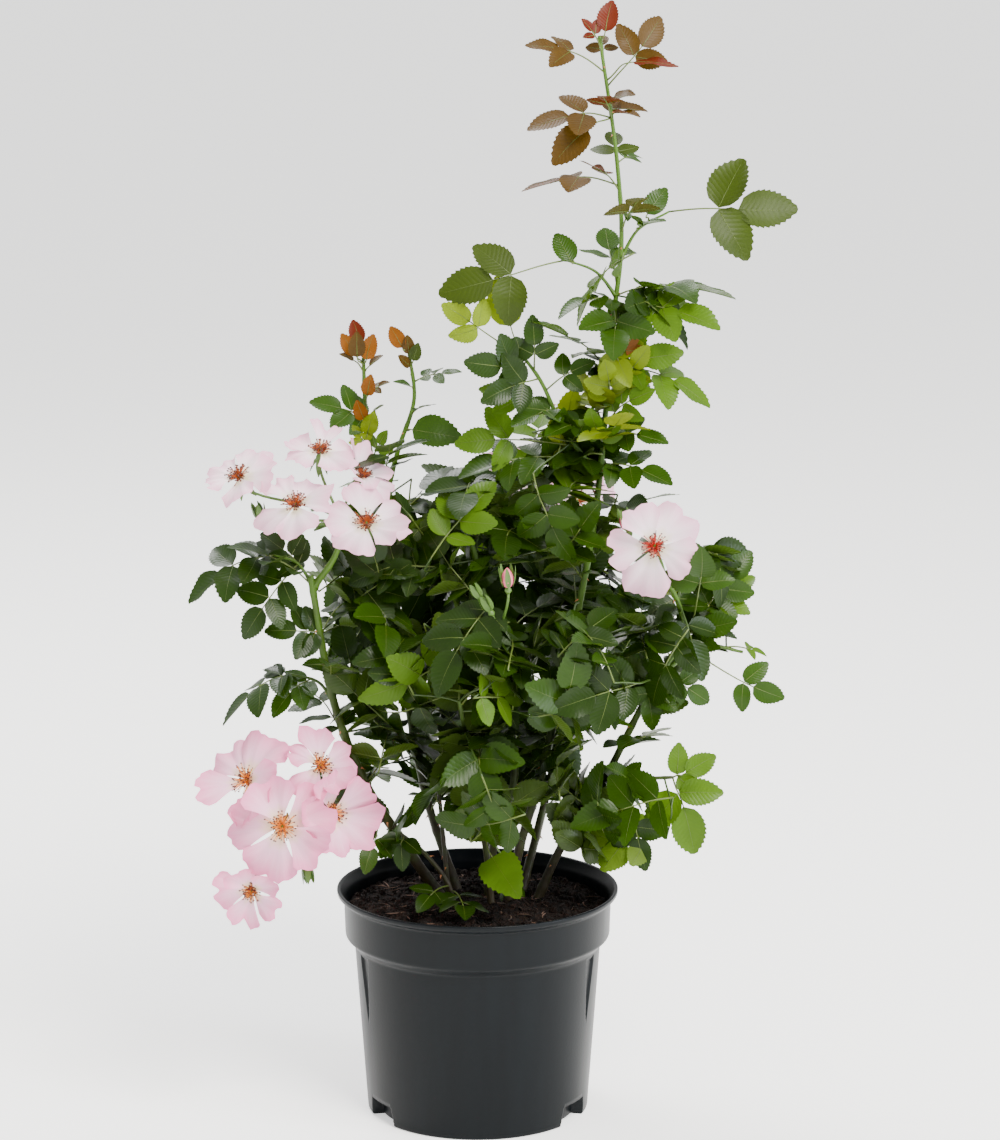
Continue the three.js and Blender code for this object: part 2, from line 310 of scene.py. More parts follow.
def pot_shape(columns=960):
    """Radius and height along the wall's profile, swept round, less the notches and grooves.

    A notch is a bite of 9 mm out of the radius, wherever the angle is near a notch's bearing and
    the height is under its ceiling. A groove is a bite of 1.7 mm out of the body under the band: a
    wedge, 9 degrees across at the band, that narrows to a point at its foot.
    """
    profile = [
        ((0.0, 0.0), 0),
        ((FOOT_RADIUS, 0.0), 2.0),
        ((BODY_RADIUS, BAND_FOOT - 1), 2),
        ((BAND_RADIUS - 1, BAND_FOOT + 6), 2),
        ((BAND_RADIUS, POT_HEIGHT - 7.5), 2),
        ((RIM_RADIUS - 0.4, POT_HEIGHT - 4), 2),
        ((RIM_RADIUS - 0.4, POT_HEIGHT), 1.3),
        ((RIM_RADIUS - 3, POT_HEIGHT - 0.3), 1.2),
        ((BAND_RADIUS - POT_WALL, POT_HEIGHT - 8), 3),
        ((BAND_RADIUS - POT_WALL - 1.5, BAND_FOOT + 10), 3),
        ((BODY_RADIUS - POT_WALL, BAND_FOOT), 3),
        ((FOOT_RADIUS - 12, INSIDE_FLOOR), 2),
        ((0.0, INSIDE_FLOOR), 0),
    ]
    line = rounded([p for p, _ in profile], [size for _, size in profile[1:-1]])
    # The first rows are the middle of the underside and its turned edge. The wall above them gets
    # rows of its own, two of them close together at the notches' ceiling.
    first = 6
    ceiling = [NOTCH_HEIGHT - 0.2, NOTCH_HEIGHT + 0.2]
    rise = np.concatenate([[4, 8, 12], ceiling, np.linspace(20, BAND_FOOT - 3, 36)])
    ends = line[first - 1 : first + 1]
    wall = np.stack([np.interp(rise, ends[:, 1], ends[:, 0]), rise], 1)
    line = np.concatenate([line[:first], wall, line[first:]])
    quads, v, u = grid(len(line), columns, wrap=True)
    angle = np.linspace(0, 2 * math.pi, columns, endpoint=False)
    radius = np.repeat(line[:, :1], columns, 1)
    height = np.repeat(line[:, 1:], columns, 1)
    row = np.arange(len(line))[:, None]
    outside = (row > 0) & (row < first + len(wall))
    bite = np.zeros_like(radius)
    for bearing in NOTCH_BEARINGS:
        off = degrees_off(angle, bearing)
        wide = NOTCH_HALF_WIDTH - 2.4 * height / NOTCH_HEIGHT
        notch = NOTCH_DEPTH * (1 - step(off[None], wide - 0.4, wide + 0.4))
        bite = np.maximum(bite, notch * (height < NOTCH_HEIGHT))
    ends_in = step(height, GROOVE_FOOT, GROOVE_FOOT + 12)
    ends_in = ends_in * (1 - step(height, BAND_FOOT - 6, BAND_FOOT - 3))
    for bearing in GROOVE_BEARINGS:
        off = degrees_off(angle, bearing)
        wide = GROOVE_HALF_WIDTH * np.clip((height - GROOVE_FOOT) / (BAND_FOOT - GROOVE_FOOT), 0, 1)
        wedge = 1 - step(off[None], wide - 0.5, wide + 0.3)
        bite = np.maximum(bite, GROOVE_DEPTH * wedge * ends_in)
    radius = radius - bite * outside
    points = np.stack([radius * np.cos(angle), radius * np.sin(angle), height], -1)
    return points.reshape(-1, 3), quads, NO_TRIANGLES, np.stack([u, v], 1)


# %% [markdown]
# ## Recycled polypropylene
# Blow-moulded and left as it comes from the mould, so it is a charcoal that is not quite even,
# with a satin skin: a fine ripple of about 2 mm from the mould and faint upright flow marks. Its
# gloss is soft enough to show lamps only as broad upright bands.

# %% The pot's plastic
pot_plastic, tree, shader = new_material("recycled polypropylene, charcoal", Specular_IOR_Level=0.12)
place = add(tree, "ShaderNodeTexCoord").outputs["Object"]
# Flow marks: noise stretched along Z, 14 mm across and about 200 mm long.
stretched = add(tree, "ShaderNodeMapping", {"Vector": place, "Scale": (70, 70, 5)})
marks = add(tree, "ShaderNodeTexNoise", {"Vector": stretched.outputs[0], "Scale": 1.0, "Detail": 4.0})
ripple = add(tree, "ShaderNodeTexNoise", {"Vector": place, "Scale": 480.0, "Detail": 3.0})
tones = {0: marks.outputs["Fac"], 6: linear("#050709"), 7: linear("#0b1013")}
tone = add(tree, "ShaderNodeMix", tones, data_type="RGBA")
tree.links.new(tone.outputs[2], shader.inputs["Base Color"])
worn = add(tree, "ShaderNodeMapRange", {"Value": marks.outputs["Fac"], 3: 0.3, 4: 0.4})
tree.links.new(worn.outputs[0], shader.inputs["Roughness"])
relief = {"Height": ripple.outputs["Fac"], "Strength": 0.12, "Distance": 0.0004}
bump = add(tree, "ShaderNodeBump", relief)
tree.links.new(bump.outputs[0], shader.inputs["Normal"])
new_piece("nursery_pot", pot_shape(), pot_plastic, ["pot"])

# %% [markdown]
# ## The compost
# Peat-free potting compost is composted bark and wood fibre: a dark, damp, lumpy surface with
# paler shreds lying in it. The surface is one grid pushed up and down by a few waves of seeded
# noise, which alone would look like cloth, so crumbs and shreds are strewn over it as real mesh.

# %% The compost's surface


def waves(x, y, size, seed, octaves=4):
    """A sum of slanted sine waves, each layer half the size and a little over half the height."""
    own = np.random.default_rng(seed)
    total = np.zeros_like(x)
    for layer in range(octaves):
        for _ in range(5):
            turn, shift = own.uniform(0, 2 * math.pi, 2)
            pace = 2 * math.pi / size * 2**layer * own.uniform(0.7, 1.3)
            total += np.sin(pace * (x * math.cos(turn) + y * math.sin(turn)) + shift) * 0.55**layer
    return total / 5


SOIL_TOP = 169.0
SOIL_RADIUS = 104.4
SOIL_FOOT = 4.0


def soil_height(x, y):
    """The compost's level: 2.6 mm x waves of 30 mm and less, and a 3 mm mound at the canes."""
    far = np.hypot(x - 8, y - 14)
    return SOIL_TOP + 2.6 * waves(x, y, 30, 3) + 3.0 * np.exp(-((far / 34) ** 2)) - 1.5


def soil_shape(rings=84, columns=360):
    """A disc of rings on that level, whose edge is carried down the inside of the pot.

    Its side steps in under the pot's band, as the wall does, and ends in a flat foot.
    """
    radius = np.linspace(0, SOIL_RADIUS, rings)
    radius = np.concatenate([radius, [SOIL_RADIUS, BODY_RADIUS - 3, FOOT_RADIUS - 14, 0]])
    angle = np.linspace(0, 2 * math.pi, columns, endpoint=False)
    x, y = radius[:, None] * np.cos(angle), radius[:, None] * np.sin(angle)
    z = soil_height(x, y)
    z[-4:] = np.array([BAND_FOOT + 11, BAND_FOOT - 1, SOIL_FOOT, SOIL_FOOT])[:, None]
    quads, v, u = grid(len(radius), columns, wrap=True)
    points = np.stack([x, y, z], -1).reshape(-1, 3)
    return points, quads[:, ::-1], NO_TRIANGLES, np.stack([u, v], 1)


# %% Damp compost
compost, tree, shader = new_material("potting compost, damp", Roughness=0.85, Specular_IOR_Level=0.2)
place = add(tree, "ShaderNodeTexCoord").outputs["Object"]
# Lumps of 6 mm and grains of about 1 mm.
lumps = add(tree, "ShaderNodeTexNoise", {"Vector": place, "Scale": 160.0, "Detail": 8.0})
grains = add(tree, "ShaderNodeTexVoronoi", {"Vector": place, "Scale": 900.0})
ramp = add(tree, "ShaderNodeValToRGB", {"Fac": lumps.outputs["Fac"]})
set_stops(ramp, (0.35, "#060403"), (0.72, "#24140b"))
tree.links.new(ramp.outputs[0], shader.inputs["Base Color"])
both = {0: lumps.outputs["Fac"], 1: grains.outputs["Distance"]}
rough = add(tree, "ShaderNodeMath", both, operation="ADD")
bump = add(tree, "ShaderNodeBump", {"Height": rough.outputs[0], "Strength": 0.9, "Distance": 0.002})
tree.links.new(bump.outputs[0], shader.inputs["Normal"])
new_piece("compost", soil_shape(), compost, ["soil"])

# %% Crumbs and shreds
# A crumb starts as an icosahedron, whose corners are those of three golden rectangles crossed.
LONG_SIDE = 1.618
SIGNS = [(a, b) for a in (-1, 1) for b in (-1, 1)]
ICOSAHEDRON = np.array(
    [[0, a, b * LONG_SIDE] for a, b in SIGNS]
    + [[a, b * LONG_SIDE, 0] for a, b in SIGNS]
    + [[a * LONG_SIDE, 0, b] for a, b in SIGNS]
)


def ball_faces(points):
    """The triangles of a small convex ball: every three points that are all neighbours."""
    gap = np.linalg.norm(points[:, None] - points[None], axis=-1)
    near = gap < 1.2 * np.min(gap[gap > 0])
    faces = []
    for a in range(len(points)):
        for b in range(a + 1, len(points)):
            for c in range(b + 1, len(points)):
                if near[a, b] and near[b, c] and near[a, c]:
                    outward = np.dot(np.cross(points[b] - points[a], points[c] - points[a]), points[a])
                    faces.append((a, b, c) if outward > 0 else (a, c, b))
    return np.array(faces)


BALL = unit(ICOSAHEDRON)
BALL_FACES = ball_faces(BALL)
NO_QUADS = np.zeros((0, 4), int)


def crumbs(count, own):
    """Small balls, each stretched and dented by chance, half sunk in the compost."""
    far = SOIL_RADIUS * np.sqrt(own.uniform(0, 1, count)) * 0.985
    turn = own.uniform(0, 2 * math.pi, count)
    x, y = far * np.cos(turn), far * np.sin(turn)
    size = own.uniform(0.8, 1.6, count) + 2.4 * own.uniform(0, 1, count) ** 5
    stretch = own.uniform(0.6, 1.3, (count, 1, 3)) * size[:, None, None]
    dent = own.uniform(0.75, 1.2, (count, len(BALL), 1))
    spots = np.stack([x, y, soil_height(x, y) + 0.2 * size], 1)[:, None]
    uv = np.stack([BALL[:, 0], BALL[:, 1]], 1) * 0.5 + 0.5
    return copies(BALL[None] * stretch * dent + spots, NO_QUADS, BALL_FACES, uv)


def shreds(count, own):
    """Slivers of bark and fibre: short bent tubes laid flat on the compost."""
    far = SOIL_RADIUS * np.sqrt(own.uniform(0, 1, count)) * 0.93
    turn, heading = own.uniform(0, 2 * math.pi, (2, count))
    length = own.uniform(5, 20, count)
    t = np.linspace(-0.5, 0.5, 5)
    bend = own.uniform(-0.25, 0.25, count)[:, None] * (t**2 * 4) * length[:, None]
    ahead = t * length[:, None]
    cos, sin = np.cos(heading)[:, None], np.sin(heading)[:, None]
    x = (far * np.cos(turn))[:, None] + ahead * cos - bend * sin
    y = (far * np.sin(turn))[:, None] + ahead * sin + bend * cos
    z = soil_height(x, y).max(1, keepdims=True) + own.uniform(0, 1.2, (count, 1)) + 0 * x
    width = own.uniform(0.25, 0.9, count)[:, None] * (1 - 1.6 * np.abs(t) ** 1.5)
    inside = np.hypot(x, y).max(1) < SOIL_RADIUS
    return tubes(np.stack([x, y, z], -1)[inside], np.maximum(width, 0.08)[inside], 4)


# Shredded wood is dull and dry, in browns that change every 20 mm or so, from shred to shred.
fibre, tree, shader = new_material("wood fibre and bark shreds", Roughness=0.85)
place = add(tree, "ShaderNodeTexCoord").outputs["Object"]
patches = add(tree, "ShaderNodeTexNoise", {"Vector": place, "Scale": 45.0, "Detail": 2.0})
ramp = add(tree, "ShaderNodeValToRGB", {"Fac": patches.outputs["Fac"]})
set_stops(ramp, (0.4, "#1c110b"), (0.66, "#6b5040"))
tree.links.new(ramp.outputs[0], shader.inputs["Base Color"])
new_piece("compost_crumbs", crumbs(2600, dice), compost, smooth=False)
new_piece("compost_shreds", shreds(150, dice), fibre)

# %% [markdown]
# ## The canes
# A shrub rose is a stool of canes from one graft union just under the compost. The old ones are
# thick and brownish at the foot, the young ones green, and each has a slight swelling at every
# bud scar. They could be plain tapered tubes, but the bark's relief is what the light catches on
# a stem, so each ring's radius also carries shallow ridges, scars and a little seeded roughness.

# %% Their routes, in millimetres
CANE_FOOT = SOIL_TOP - 8
# Each cane: the radius at its foot, the radius at its tip, and the points that it passes through.
CANES = {
    "leading_cane": (4, 1.3, [(24, 8, CANE_FOOT), (34, 5, 214), (52, 0, 280), (93, -2, 486)]
                     + [(106, 0, 637), (113, 0, 704), (109, 0, 770), (95, 0, 866)]),
    "left_cane": (4.8, 2.6, [(-26, 26, CANE_FOOT), (-61, 12, 218), (-89, 0, 267)]
                  + [(-114, -14, 340), (-131, -32, 447)]),
    "front_left_stem": (2.4, 1.4, [(-16, -14, CANE_FOOT), (-24, -10, 189), (-43, -14, 216)]
                        + [(-64, -22, 236)]),
    "forked_stem": (2.2, 1.4, [(-22, 2, CANE_FOOT), (-26, 4, 205), (-30, 10, 247), (-34, 20, 290)]),
    "centre_cane": (3.8, 2.2, [(8, 18, CANE_FOOT), (14, 15, 220), (30, 10, 274), (18, 0, 360)]
                    + [(-4, -10, 470)]),
    "front_cane": (3, 1.8, [(12, -6, CANE_FOOT), (8, -4, 206), (0, -16, 260), (-14, -46, 350)]),
    "right_cane": (3.8, 2.2, [(46, 18, CANE_FOOT), (66, 20, 207), (98, 10, 262), (136, -12, 345)]
                   + [(172, -6, 404)]),
    "back_cane": (4, 2.2, [(10, 44, CANE_FOOT), (12, 70, 240), (24, 104, 360), (44, 104, 500)]),
    "back_left_cane": (3.8, 2, [(-14, 40, CANE_FOOT), (-44, 58, 250), (-66, 48, 400), (-72, 22, 524)]),
    "back_right_cane": (3.8, 2, [(34, 36, CANE_FOOT), (58, 66, 250), (84, 98, 370), (92, 134, 450)]),
}
# Each bough: the radius where it leaves its cane, the radius at its tip, and its points.
BOUGHS = {
    "left_leaf_bough": (1.6, 0.9, [(-128, -28, 436), (-142, -30, 457), (-160, -30, 463)]),
    "left_lower_leaf_bough": (1.6, 0.9, [(-113, -14, 337), (-126, -16, 357), (-148, -18, 364)]),
    "lower_bloom_bough": (2.4, 1.6, [(-76, 6, 240), (-90, -22, 262), (-112, -46, 268)]),
    "upper_bloom_bough": (2.8, 2, [(-128, -28, 438), (-112, -38, 462), (-104, -42, 484)]),
    "left_shoot_bough": (2.4, 1.4, [(-71, 28, 500), (-82, 21, 524), (-88, 20, 566), (-90, 20, 612)]),
    "right_shoot_bough": (2.2, 1.3, [(-71, 26, 508), (-62, 25, 540), (-50, 25, 578), (-54, 25, 616)]),
    "mid_leaf_bough": (2.4, 1.3, [(96, -1, 520), (67, -5, 562), (50, -8, 598), (36, -10, 618)]),
    "upper_left_spray_bough": (1.5, 0.8, [(109, 0, 664), (93, 0, 683), (70, 0, 692)]),
    "upper_right_spray_bough": (1.5, 0.8, [(113, 0, 694), (126, 0, 716), (150, 0, 730)]),
    "right_tip_bough": (2, 1.2, [(150, -10, 366), (180, -4, 384), (212, 0, 378)]),
    "right_bloom_bough": (2.4, 1.8, [(166, -8, 396), (158, -34, 426), (146, -56, 452)]),
    "lower_right_spray_bough": (2, 1.2, [(98, 10, 262), (126, -12, 276), (156, -20, 280)]),
}
LIMBS = {**CANES, **BOUGHS}
ROUTE_STEP = 2.2
ROUTES = {}
for name, (_, _, through) in LIMBS.items():
    span = sum(math.dist(a, b) for a, b in zip(through, through[1:]))
    ROUTES[name] = smooth_path(through, max(12, round(span / ROUTE_STEP)))
print("canes:", len(CANES), "boughs:", len(BOUGHS))

# %% A point on a limb, and the bark's relief
SCAR_GAP = 41


def on_limb(name, z):
    """The point of a limb's route that is nearest to a height, and the route's direction there."""
    route = ROUTES[name]
    at = int(np.abs(route[:, 2] - z).argmin())
    return route[at], unit(np.gradient(route, axis=0)[at])


def bark_shape(name, sides=20):
    """A limb: its taper x (1 + scars + ridges + roughness + a flare at its foot).

    A scar is a swelling of 14 hundredths, bell-shaped and a few millimetres long. The ridges are
    two sine waves, five and nine to the turn, that wind slowly opposite ways.
    """
    foot, tip, _ = LIMBS[name]
    route = ROUTES[name]
    own = np.random.default_rng(len(name) * 37 + ord(name[0]))
    s = np.linspace(0, 1, len(route))[:, None]
    run = s * len(route) * ROUTE_STEP
    angle = np.linspace(0, 2 * math.pi, sides, endpoint=False)[None]
    taper = foot + (tip - foot) * s**0.8
    scars = np.zeros_like(s)
    for spot in np.arange(own.uniform(12, 30), run[-1, 0], SCAR_GAP):
        scars = scars + 0.14 * np.exp(-(((run - spot - own.uniform(-6, 6)) / 2.6) ** 2))
    ridges = 0.035 * np.sin(5 * angle + run / 26) + 0.02 * np.sin(9 * angle - run / 15 + 1)
    rough = own.normal(0, 0.012, (len(route), sides))
    flare = 0.25 * np.exp(-run / 9) if name in CANES else 0.5 * np.exp(-run / 4)
    return tubes(route[None], (taper * (1 + scars + ridges + rough + flare))[None], sides)


# %% Bark
# Green bark with a little wax, browning and greying towards the foot, where it is two years old.
bark, tree, shader = new_material("young rose bark, waxy", Roughness=0.5, Specular_IOR_Level=0.3)
place = add(tree, "ShaderNodeTexCoord").outputs["Object"]
height = add(tree, "ShaderNodeSeparateXYZ", {"Vector": place})
# Patches of about 12 mm, and lengthwise streaks 1 mm wide and 15 mm long.
patches = add(tree, "ShaderNodeTexNoise", {"Vector": place, "Scale": 80.0, "Detail": 5.0})
long = add(tree, "ShaderNodeMapping", {"Vector": place, "Scale": (900, 900, 65)})
streaks = add(tree, "ShaderNodeTexNoise", {"Vector": long.outputs[0], "Scale": 1.0, "Detail": 3.0})
level = add(tree, "ShaderNodeMapRange", {"Value": height.outputs["Z"], 1: 0.17, 2: 0.47})
spread = {0: patches.outputs["Fac"], 1: 0.9, 2: -0.45}
mottle = add(tree, "ShaderNodeMath", spread, operation="MULTIPLY_ADD")
age = add(tree, "ShaderNodeMath", {0: level.outputs[0], 1: mottle.outputs[0]}, operation="ADD")
ramp = add(tree, "ShaderNodeValToRGB", {"Fac": age.outputs[0]})
set_stops(ramp, (0.05, "#2a2413"), (0.4, "#2f3d10"), (0.95, "#3f5e12"))
tree.links.new(ramp.outputs[0], shader.inputs["Base Color"])
relief = {"Height": streaks.outputs["Fac"], "Strength": 0.5, "Distance": 0.0005}
bump = add(tree, "ShaderNodeBump", relief)
tree.links.new(bump.outputs[0], shader.inputs["Normal"])
for name in LIMBS:
    new_piece(f"bark_of_{name}", bark_shape(name), bark, [name])

# %% [markdown]
# ## Prickles
# A rose's prickles grow from the bark alone, broad at the base and hooked down. They are tiny
# tapered tubes here, each bent downwards, set round the cane by the golden angle.

# %% Hooked prickles
PRICKLE_REACH = 4.2
PRICKLE_DROP = 2.6
PRICKLE_RADII = np.array([1.5, 0.95, 0.55, 0.28, 0.04])
PRICKLE_TURN = 2.4  # radians, as near the golden angle as a plant comes


def prickle_shape(own):
    """Hooks of five points: out from the bark by 4.2 mm x t, and down by 2.6 mm x t squared.

    Both are shortened by chance and on thin wood, and a quarter of the prickles are left out.
    """
    paths, radii = [], []
    t = np.linspace(0, 1, 5)[:, None]
    for name, (foot, tip, _) in LIMBS.items():
        route = ROUTES[name]
        ahead = unit(np.gradient(route, axis=0))
        for k, at in enumerate(range(9, len(route) - 6, 8 if name in CANES else 11)):
            if own.uniform() < 0.25:
                continue
            share = at / len(route)
            thick = foot + (tip - foot) * share**0.8
            turn = k * PRICKLE_TURN + own.uniform(-0.5, 0.5)
            out = unit(np.cross(ahead[at], [math.cos(turn), math.sin(turn), 0.21]))
            size = own.uniform(0.6, 1.0) * min(1.0, 0.45 + thick / 6)
            down = ahead[at] * (PRICKLE_DROP * size * t**2)
            paths.append(route[at] + out * (thick * 0.75 + PRICKLE_REACH * size * t) - down)
            radii.append(PRICKLE_RADII * size)
    return tubes(np.array(paths), np.array(radii), 6)


# Horn: smooth enough for a small shine, and a red-brown that stands out from the green.
prickle = plain_material("prickle, horny", "#a0663c", 0.4)
new_piece("prickles", prickle_shape(dice), prickle)

# %% [markdown]
# ## Where the leaves go
# A rose leaf is compound: a stalk with two or three pairs of leaflets and one at the end. Leaves
# that stand clear of the crown give this plant its outline, so those are listed by the limb that
# bears them, the height that they leave it at and where their tips reach. The crown itself is
# filled by rule: round each mass of the frame the tips are spread evenly by the golden angle, and
# each leaf points outwards from there, turned a little by chance.

# %% Leaves that stand clear
# For each limb, its leaves: the height on it that they leave, their tip, length and pairs of
# leaflets, how far the face is turned from straight up (0) to the front (1), and the tint.
CLEAR_LEAVES = [
    ("leading_cane", [
        (860, (103, 0, 894), 36, 0, 0.9, "red"),
        (852, (82, -10, 880), 30, 1, 0.5, "red"),
        (826, (145, 10, 880), 72, 1, 0.8, "bronze"),
        (832, (154, -20, 850), 50, 0, 0.1, "red"),
        (838, (38, -10, 862), 64, 1, 0.3, "bronze"),
        (814, (122, -15, 822), 28, 0, 0.5, "bronze"),
        (802, (38, -18, 798), 84, 1, 0.3, "bronze"),
        (802, (56, -30, 774), 56, 0, 0.6, "bronze"),
        (804, (134, 10, 810), 62, 1, 0.15, "bronze"),
        (750, (34, -12, 748), 84, 1, -0.1, "bronze"),
        (746, (80, -10, 772), 44, 1, 0.2, "bronze"),
        (768, (130, 15, 773), 34, 1, 0.2, "mid"),
        (728, (130, -14, 722), 30, 1, 0.1, "mid"),
    ]),
    ("upper_right_spray_bough", [
        (730, (250, -10, 730), 112, 1, 0.75, "olive"),
        (722, (147, 4, 750), 38, 0, 0.9, "mid"),
        (712, (144, -20, 728), 36, 0, 0.2, "mid"),
    ]),
    ("upper_left_spray_bough", [
        (692, (-30, -20, 668), 106, 1, 0.75, "olive"),
        (690, (62, 10, 712), 40, 0, 0.8, "mid"),
    ]),
    ("leading_cane", [
        (664, (204, 10, 664), 96, 2, 0.15, "mid"),
        (656, (190, -30, 646), 88, 2, 0.3, "light"),
        (654, (104, -70, 626), 84, 1, 0.6, "mid"),
        (660, (62, -20, 654), 66, 2, 0.2, "mid"),
        (612, (160, -30, 622), 76, 1, 0.7, "light"),
        (608, (185, -20, 584), 84, 2, 0.3, "light"),
        (626, (118, -40, 600), 60, 1, 0.6, "yellow"),
        (592, (126, -30, 644), 44, 1, 0.9, "amber"),
        (584, (134, -34, 628), 54, 2, 0.8, "yellow"),
        (574, (100, -44, 620), 54, 2, 0.8, "yellow"),
        (560, (138, -34, 596), 56, 2, 0.7, "light"),
        (548, (88, -46, 578), 54, 2, 0.7, "light"),
        (566, (52, -34, 560), 62, 2, 0.4, "mid"),
        (552, (150, -20, 552), 62, 2, 0.3, "mid"),
        (530, (154, -30, 520), 70, 2, 0.4, "mid"),
    ]),
    ("mid_leaf_bough", [
        (617, (-26, -20, 662), 62, 1, 0.95, "yellow"),
        (618, (16, -8, 682), 60, 0, 0.95, "yellow"),
        (612, (-10, -34, 616), 74, 2, 0.9, "dark"),
        (600, (2, -36, 588), 70, 1, 0.8, "dark"),
        (606, (44, -24, 652), 58, 1, 0.8, "dark"),
        (590, (92, -16, 616), 50, 1, 0.4, "mid"),
        (574, (26, -30, 566), 62, 2, 0.4, "mid"),
        (560, (2, -10, 594), 56, 1, 0.6, "light"),
        (546, (-18, -8, 550), 78, 1, 0.55, "light"),
        (532, (-16, -14, 526), 84, 2, 0.3, "mid"),
    ]),
    ("left_shoot_bough", [
        (560, (-132, 10, 580), 62, 2, 0.4, "mid"),
        (612, (-97, 20, 643), 28, 0, 0.9, "red"),
        (608, (-106, 16, 632), 28, 0, 0.9, "amber"),
        (608, (-84, 14, 632), 30, 0, 0.8, "amber"),
        (606, (-95, 6, 634), 30, 0, 0.9, "bronze"),
        (600, (-108, 14, 617), 18, 0, 0.3, "bronze"),
        (598, (-76, 14, 616), 20, 0, 0.3, "bronze"),
        (578, (-70, 10, 596), 24, 1, 0.4, "bronze"),
        (572, (-84, 6, 600), 26, 0, 0.8, "amber"),
        (560, (-74, 8, 576), 22, 1, 0.3, "olive"),
        (556, (-96, 6, 580), 26, 0, 0.8, "amber"),
        (544, (-82, 4, 572), 30, 0, 0.8, "yellow"),
        (536, (-98, 6, 560), 30, 1, 0.7, "yellow"),
        (530, (-72, 6, 556), 34, 1, 0.6, "light"),
    ]),
    ("right_shoot_bough", [
        (616, (-68, 25, 637), 28, 0, 0.9, "amber"),
        (612, (-56, 22, 630), 22, 0, 0.8, "bronze"),
        (604, (-46, 20, 624), 22, 0, 0.8, "olive"),
        (600, (-62, 16, 614), 20, 0, 0.6, "bronze"),
        (592, (-12, 22, 600), 40, 2, 0.15, "mid"),
        (584, (-66, 18, 594), 22, 0, 0.4, "mid"),
        (552, (-12, 10, 550), 58, 0, 0.6, "mid"),
        (566, (-32, 10, 578), 34, 1, 0.05, "dark"),
    ]),
    ("left_leaf_bough", [
        (463, (-228, -30, 424), 86, 3, 0.15, "dark"),
        (456, (-186, -36, 396), 74, 2, 0.8, "dark"),
        (452, (-172, -14, 478), 60, 2, 0.5, "dark"),
    ]),
    ("left_lower_leaf_bough", [
        (364, (-206, -24, 328), 80, 3, 0.15, "dark"),
        (360, (-164, -32, 334), 58, 2, 0.4, "mid"),
    ]),
    ("left_cane", [
        (400, (-168, -30, 404), 62, 2, 0.7, "dark"),
        (244, (-92, -36, 206), 56, 1, 0.6, "mid"),
    ]),
    ("front_left_stem", [(232, (-60, -34, 206), 50, 1, 0.4, "dark")]),
    ("right_cane", [
        (402, (176, -96, 478), 78, 1, 0.75, "mid"),
        (402, (218, 10, 460), 72, 2, 0.85, "mid"),
        (400, (224, 26, 434), 72, 2, 0.4, "light"),
        (392, (206, -26, 408), 74, 2, 0.6, "mid"),
    ]),
    ("right_tip_bough", [
        (380, (245, -6, 340), 66, 1, 0.8, "mid"),
        (382, (232, 4, 374), 34, 1, 0.3, "light"),
    ]),
    ("right_cane", [
        (362, (186, 0, 336), 60, 1, 0.7, "mid"),
        (350, (142, -24, 320), 62, 2, 0.6, "mid"),
    ]),
    ("lower_right_spray_bough", [
        (280, (176, -30, 218), 100, 1, 0.9, "light"),
        (280, (190, -14, 298), 68, 1, 0.9, "light"),
        (274, (134, -34, 206), 66, 1, 0.8, "dark"),
        (272, (134, -34, 280), 50, 1, 0.8, "mid"),
    ]),
    ("front_cane", [(232, (30, -82, 201), 72, 0, 0.97, "light")]),
    ("front_left_stem", [
        (186, (-46, -62, 184), 52, 1, 0.3, "dark"),
        (182, (-8, -80, 181), 60, 2, 0.2, "dark"),
    ]),
    ("front_cane", [(190, (38, -44, 190), 40, 1, 0.4, "dark")]),
]

# %% Leaves that fill the crown
# The masses in full leaf. The others, sprays and young shoots, hold only leaves of the list above.
CROWN = [
    "whorl_leaves", "upper_leaves", "upper_left_leaves", "mid_left_leaves", "low_left_leaves",
    "upper_centre_leaves", "mid_centre_leaves", "low_centre_leaves", "upper_right_leaves",
    "mid_right_leaves", "outer_right_leaves", "low_right_leaves", "shoulder_leaves",
    "back_left_leaves", "back_centre_leaves", "back_right_leaves", "back_low_leaves",
]
# The share of their leaves that the thinner masses get.
SPARSE = {"whorl_leaves": 0.3, "upper_leaves": 0.65, "shoulder_leaves": 0.7, "outer_right_leaves": 0.85}
SPRAYS = [
    "tip_of_left_spray", "left_drooping_leaves", "top_left_spray", "top_right_spray",
    "middle_left_leaves", "right_tip_leaves", "lower_right_spray", "rim_leaves", "front_low_leaf",
    "soil_leaves",
]
YOUNG = ["leading_tip", "leading_bronze_leaves", "left_shoot_leaves", "right_shoot_leaves"]
GOLDEN = math.pi * (3 - math.sqrt(5))
LEAF_SPACE = 3250
THOMSEN = 1.6


def mass_box(name):
    """A mass's centre and half its size in millimetres, from its node in the frame."""
    low, high = (np.array(corner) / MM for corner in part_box(name))
    return (low + high) / 2, (high - low) / 2


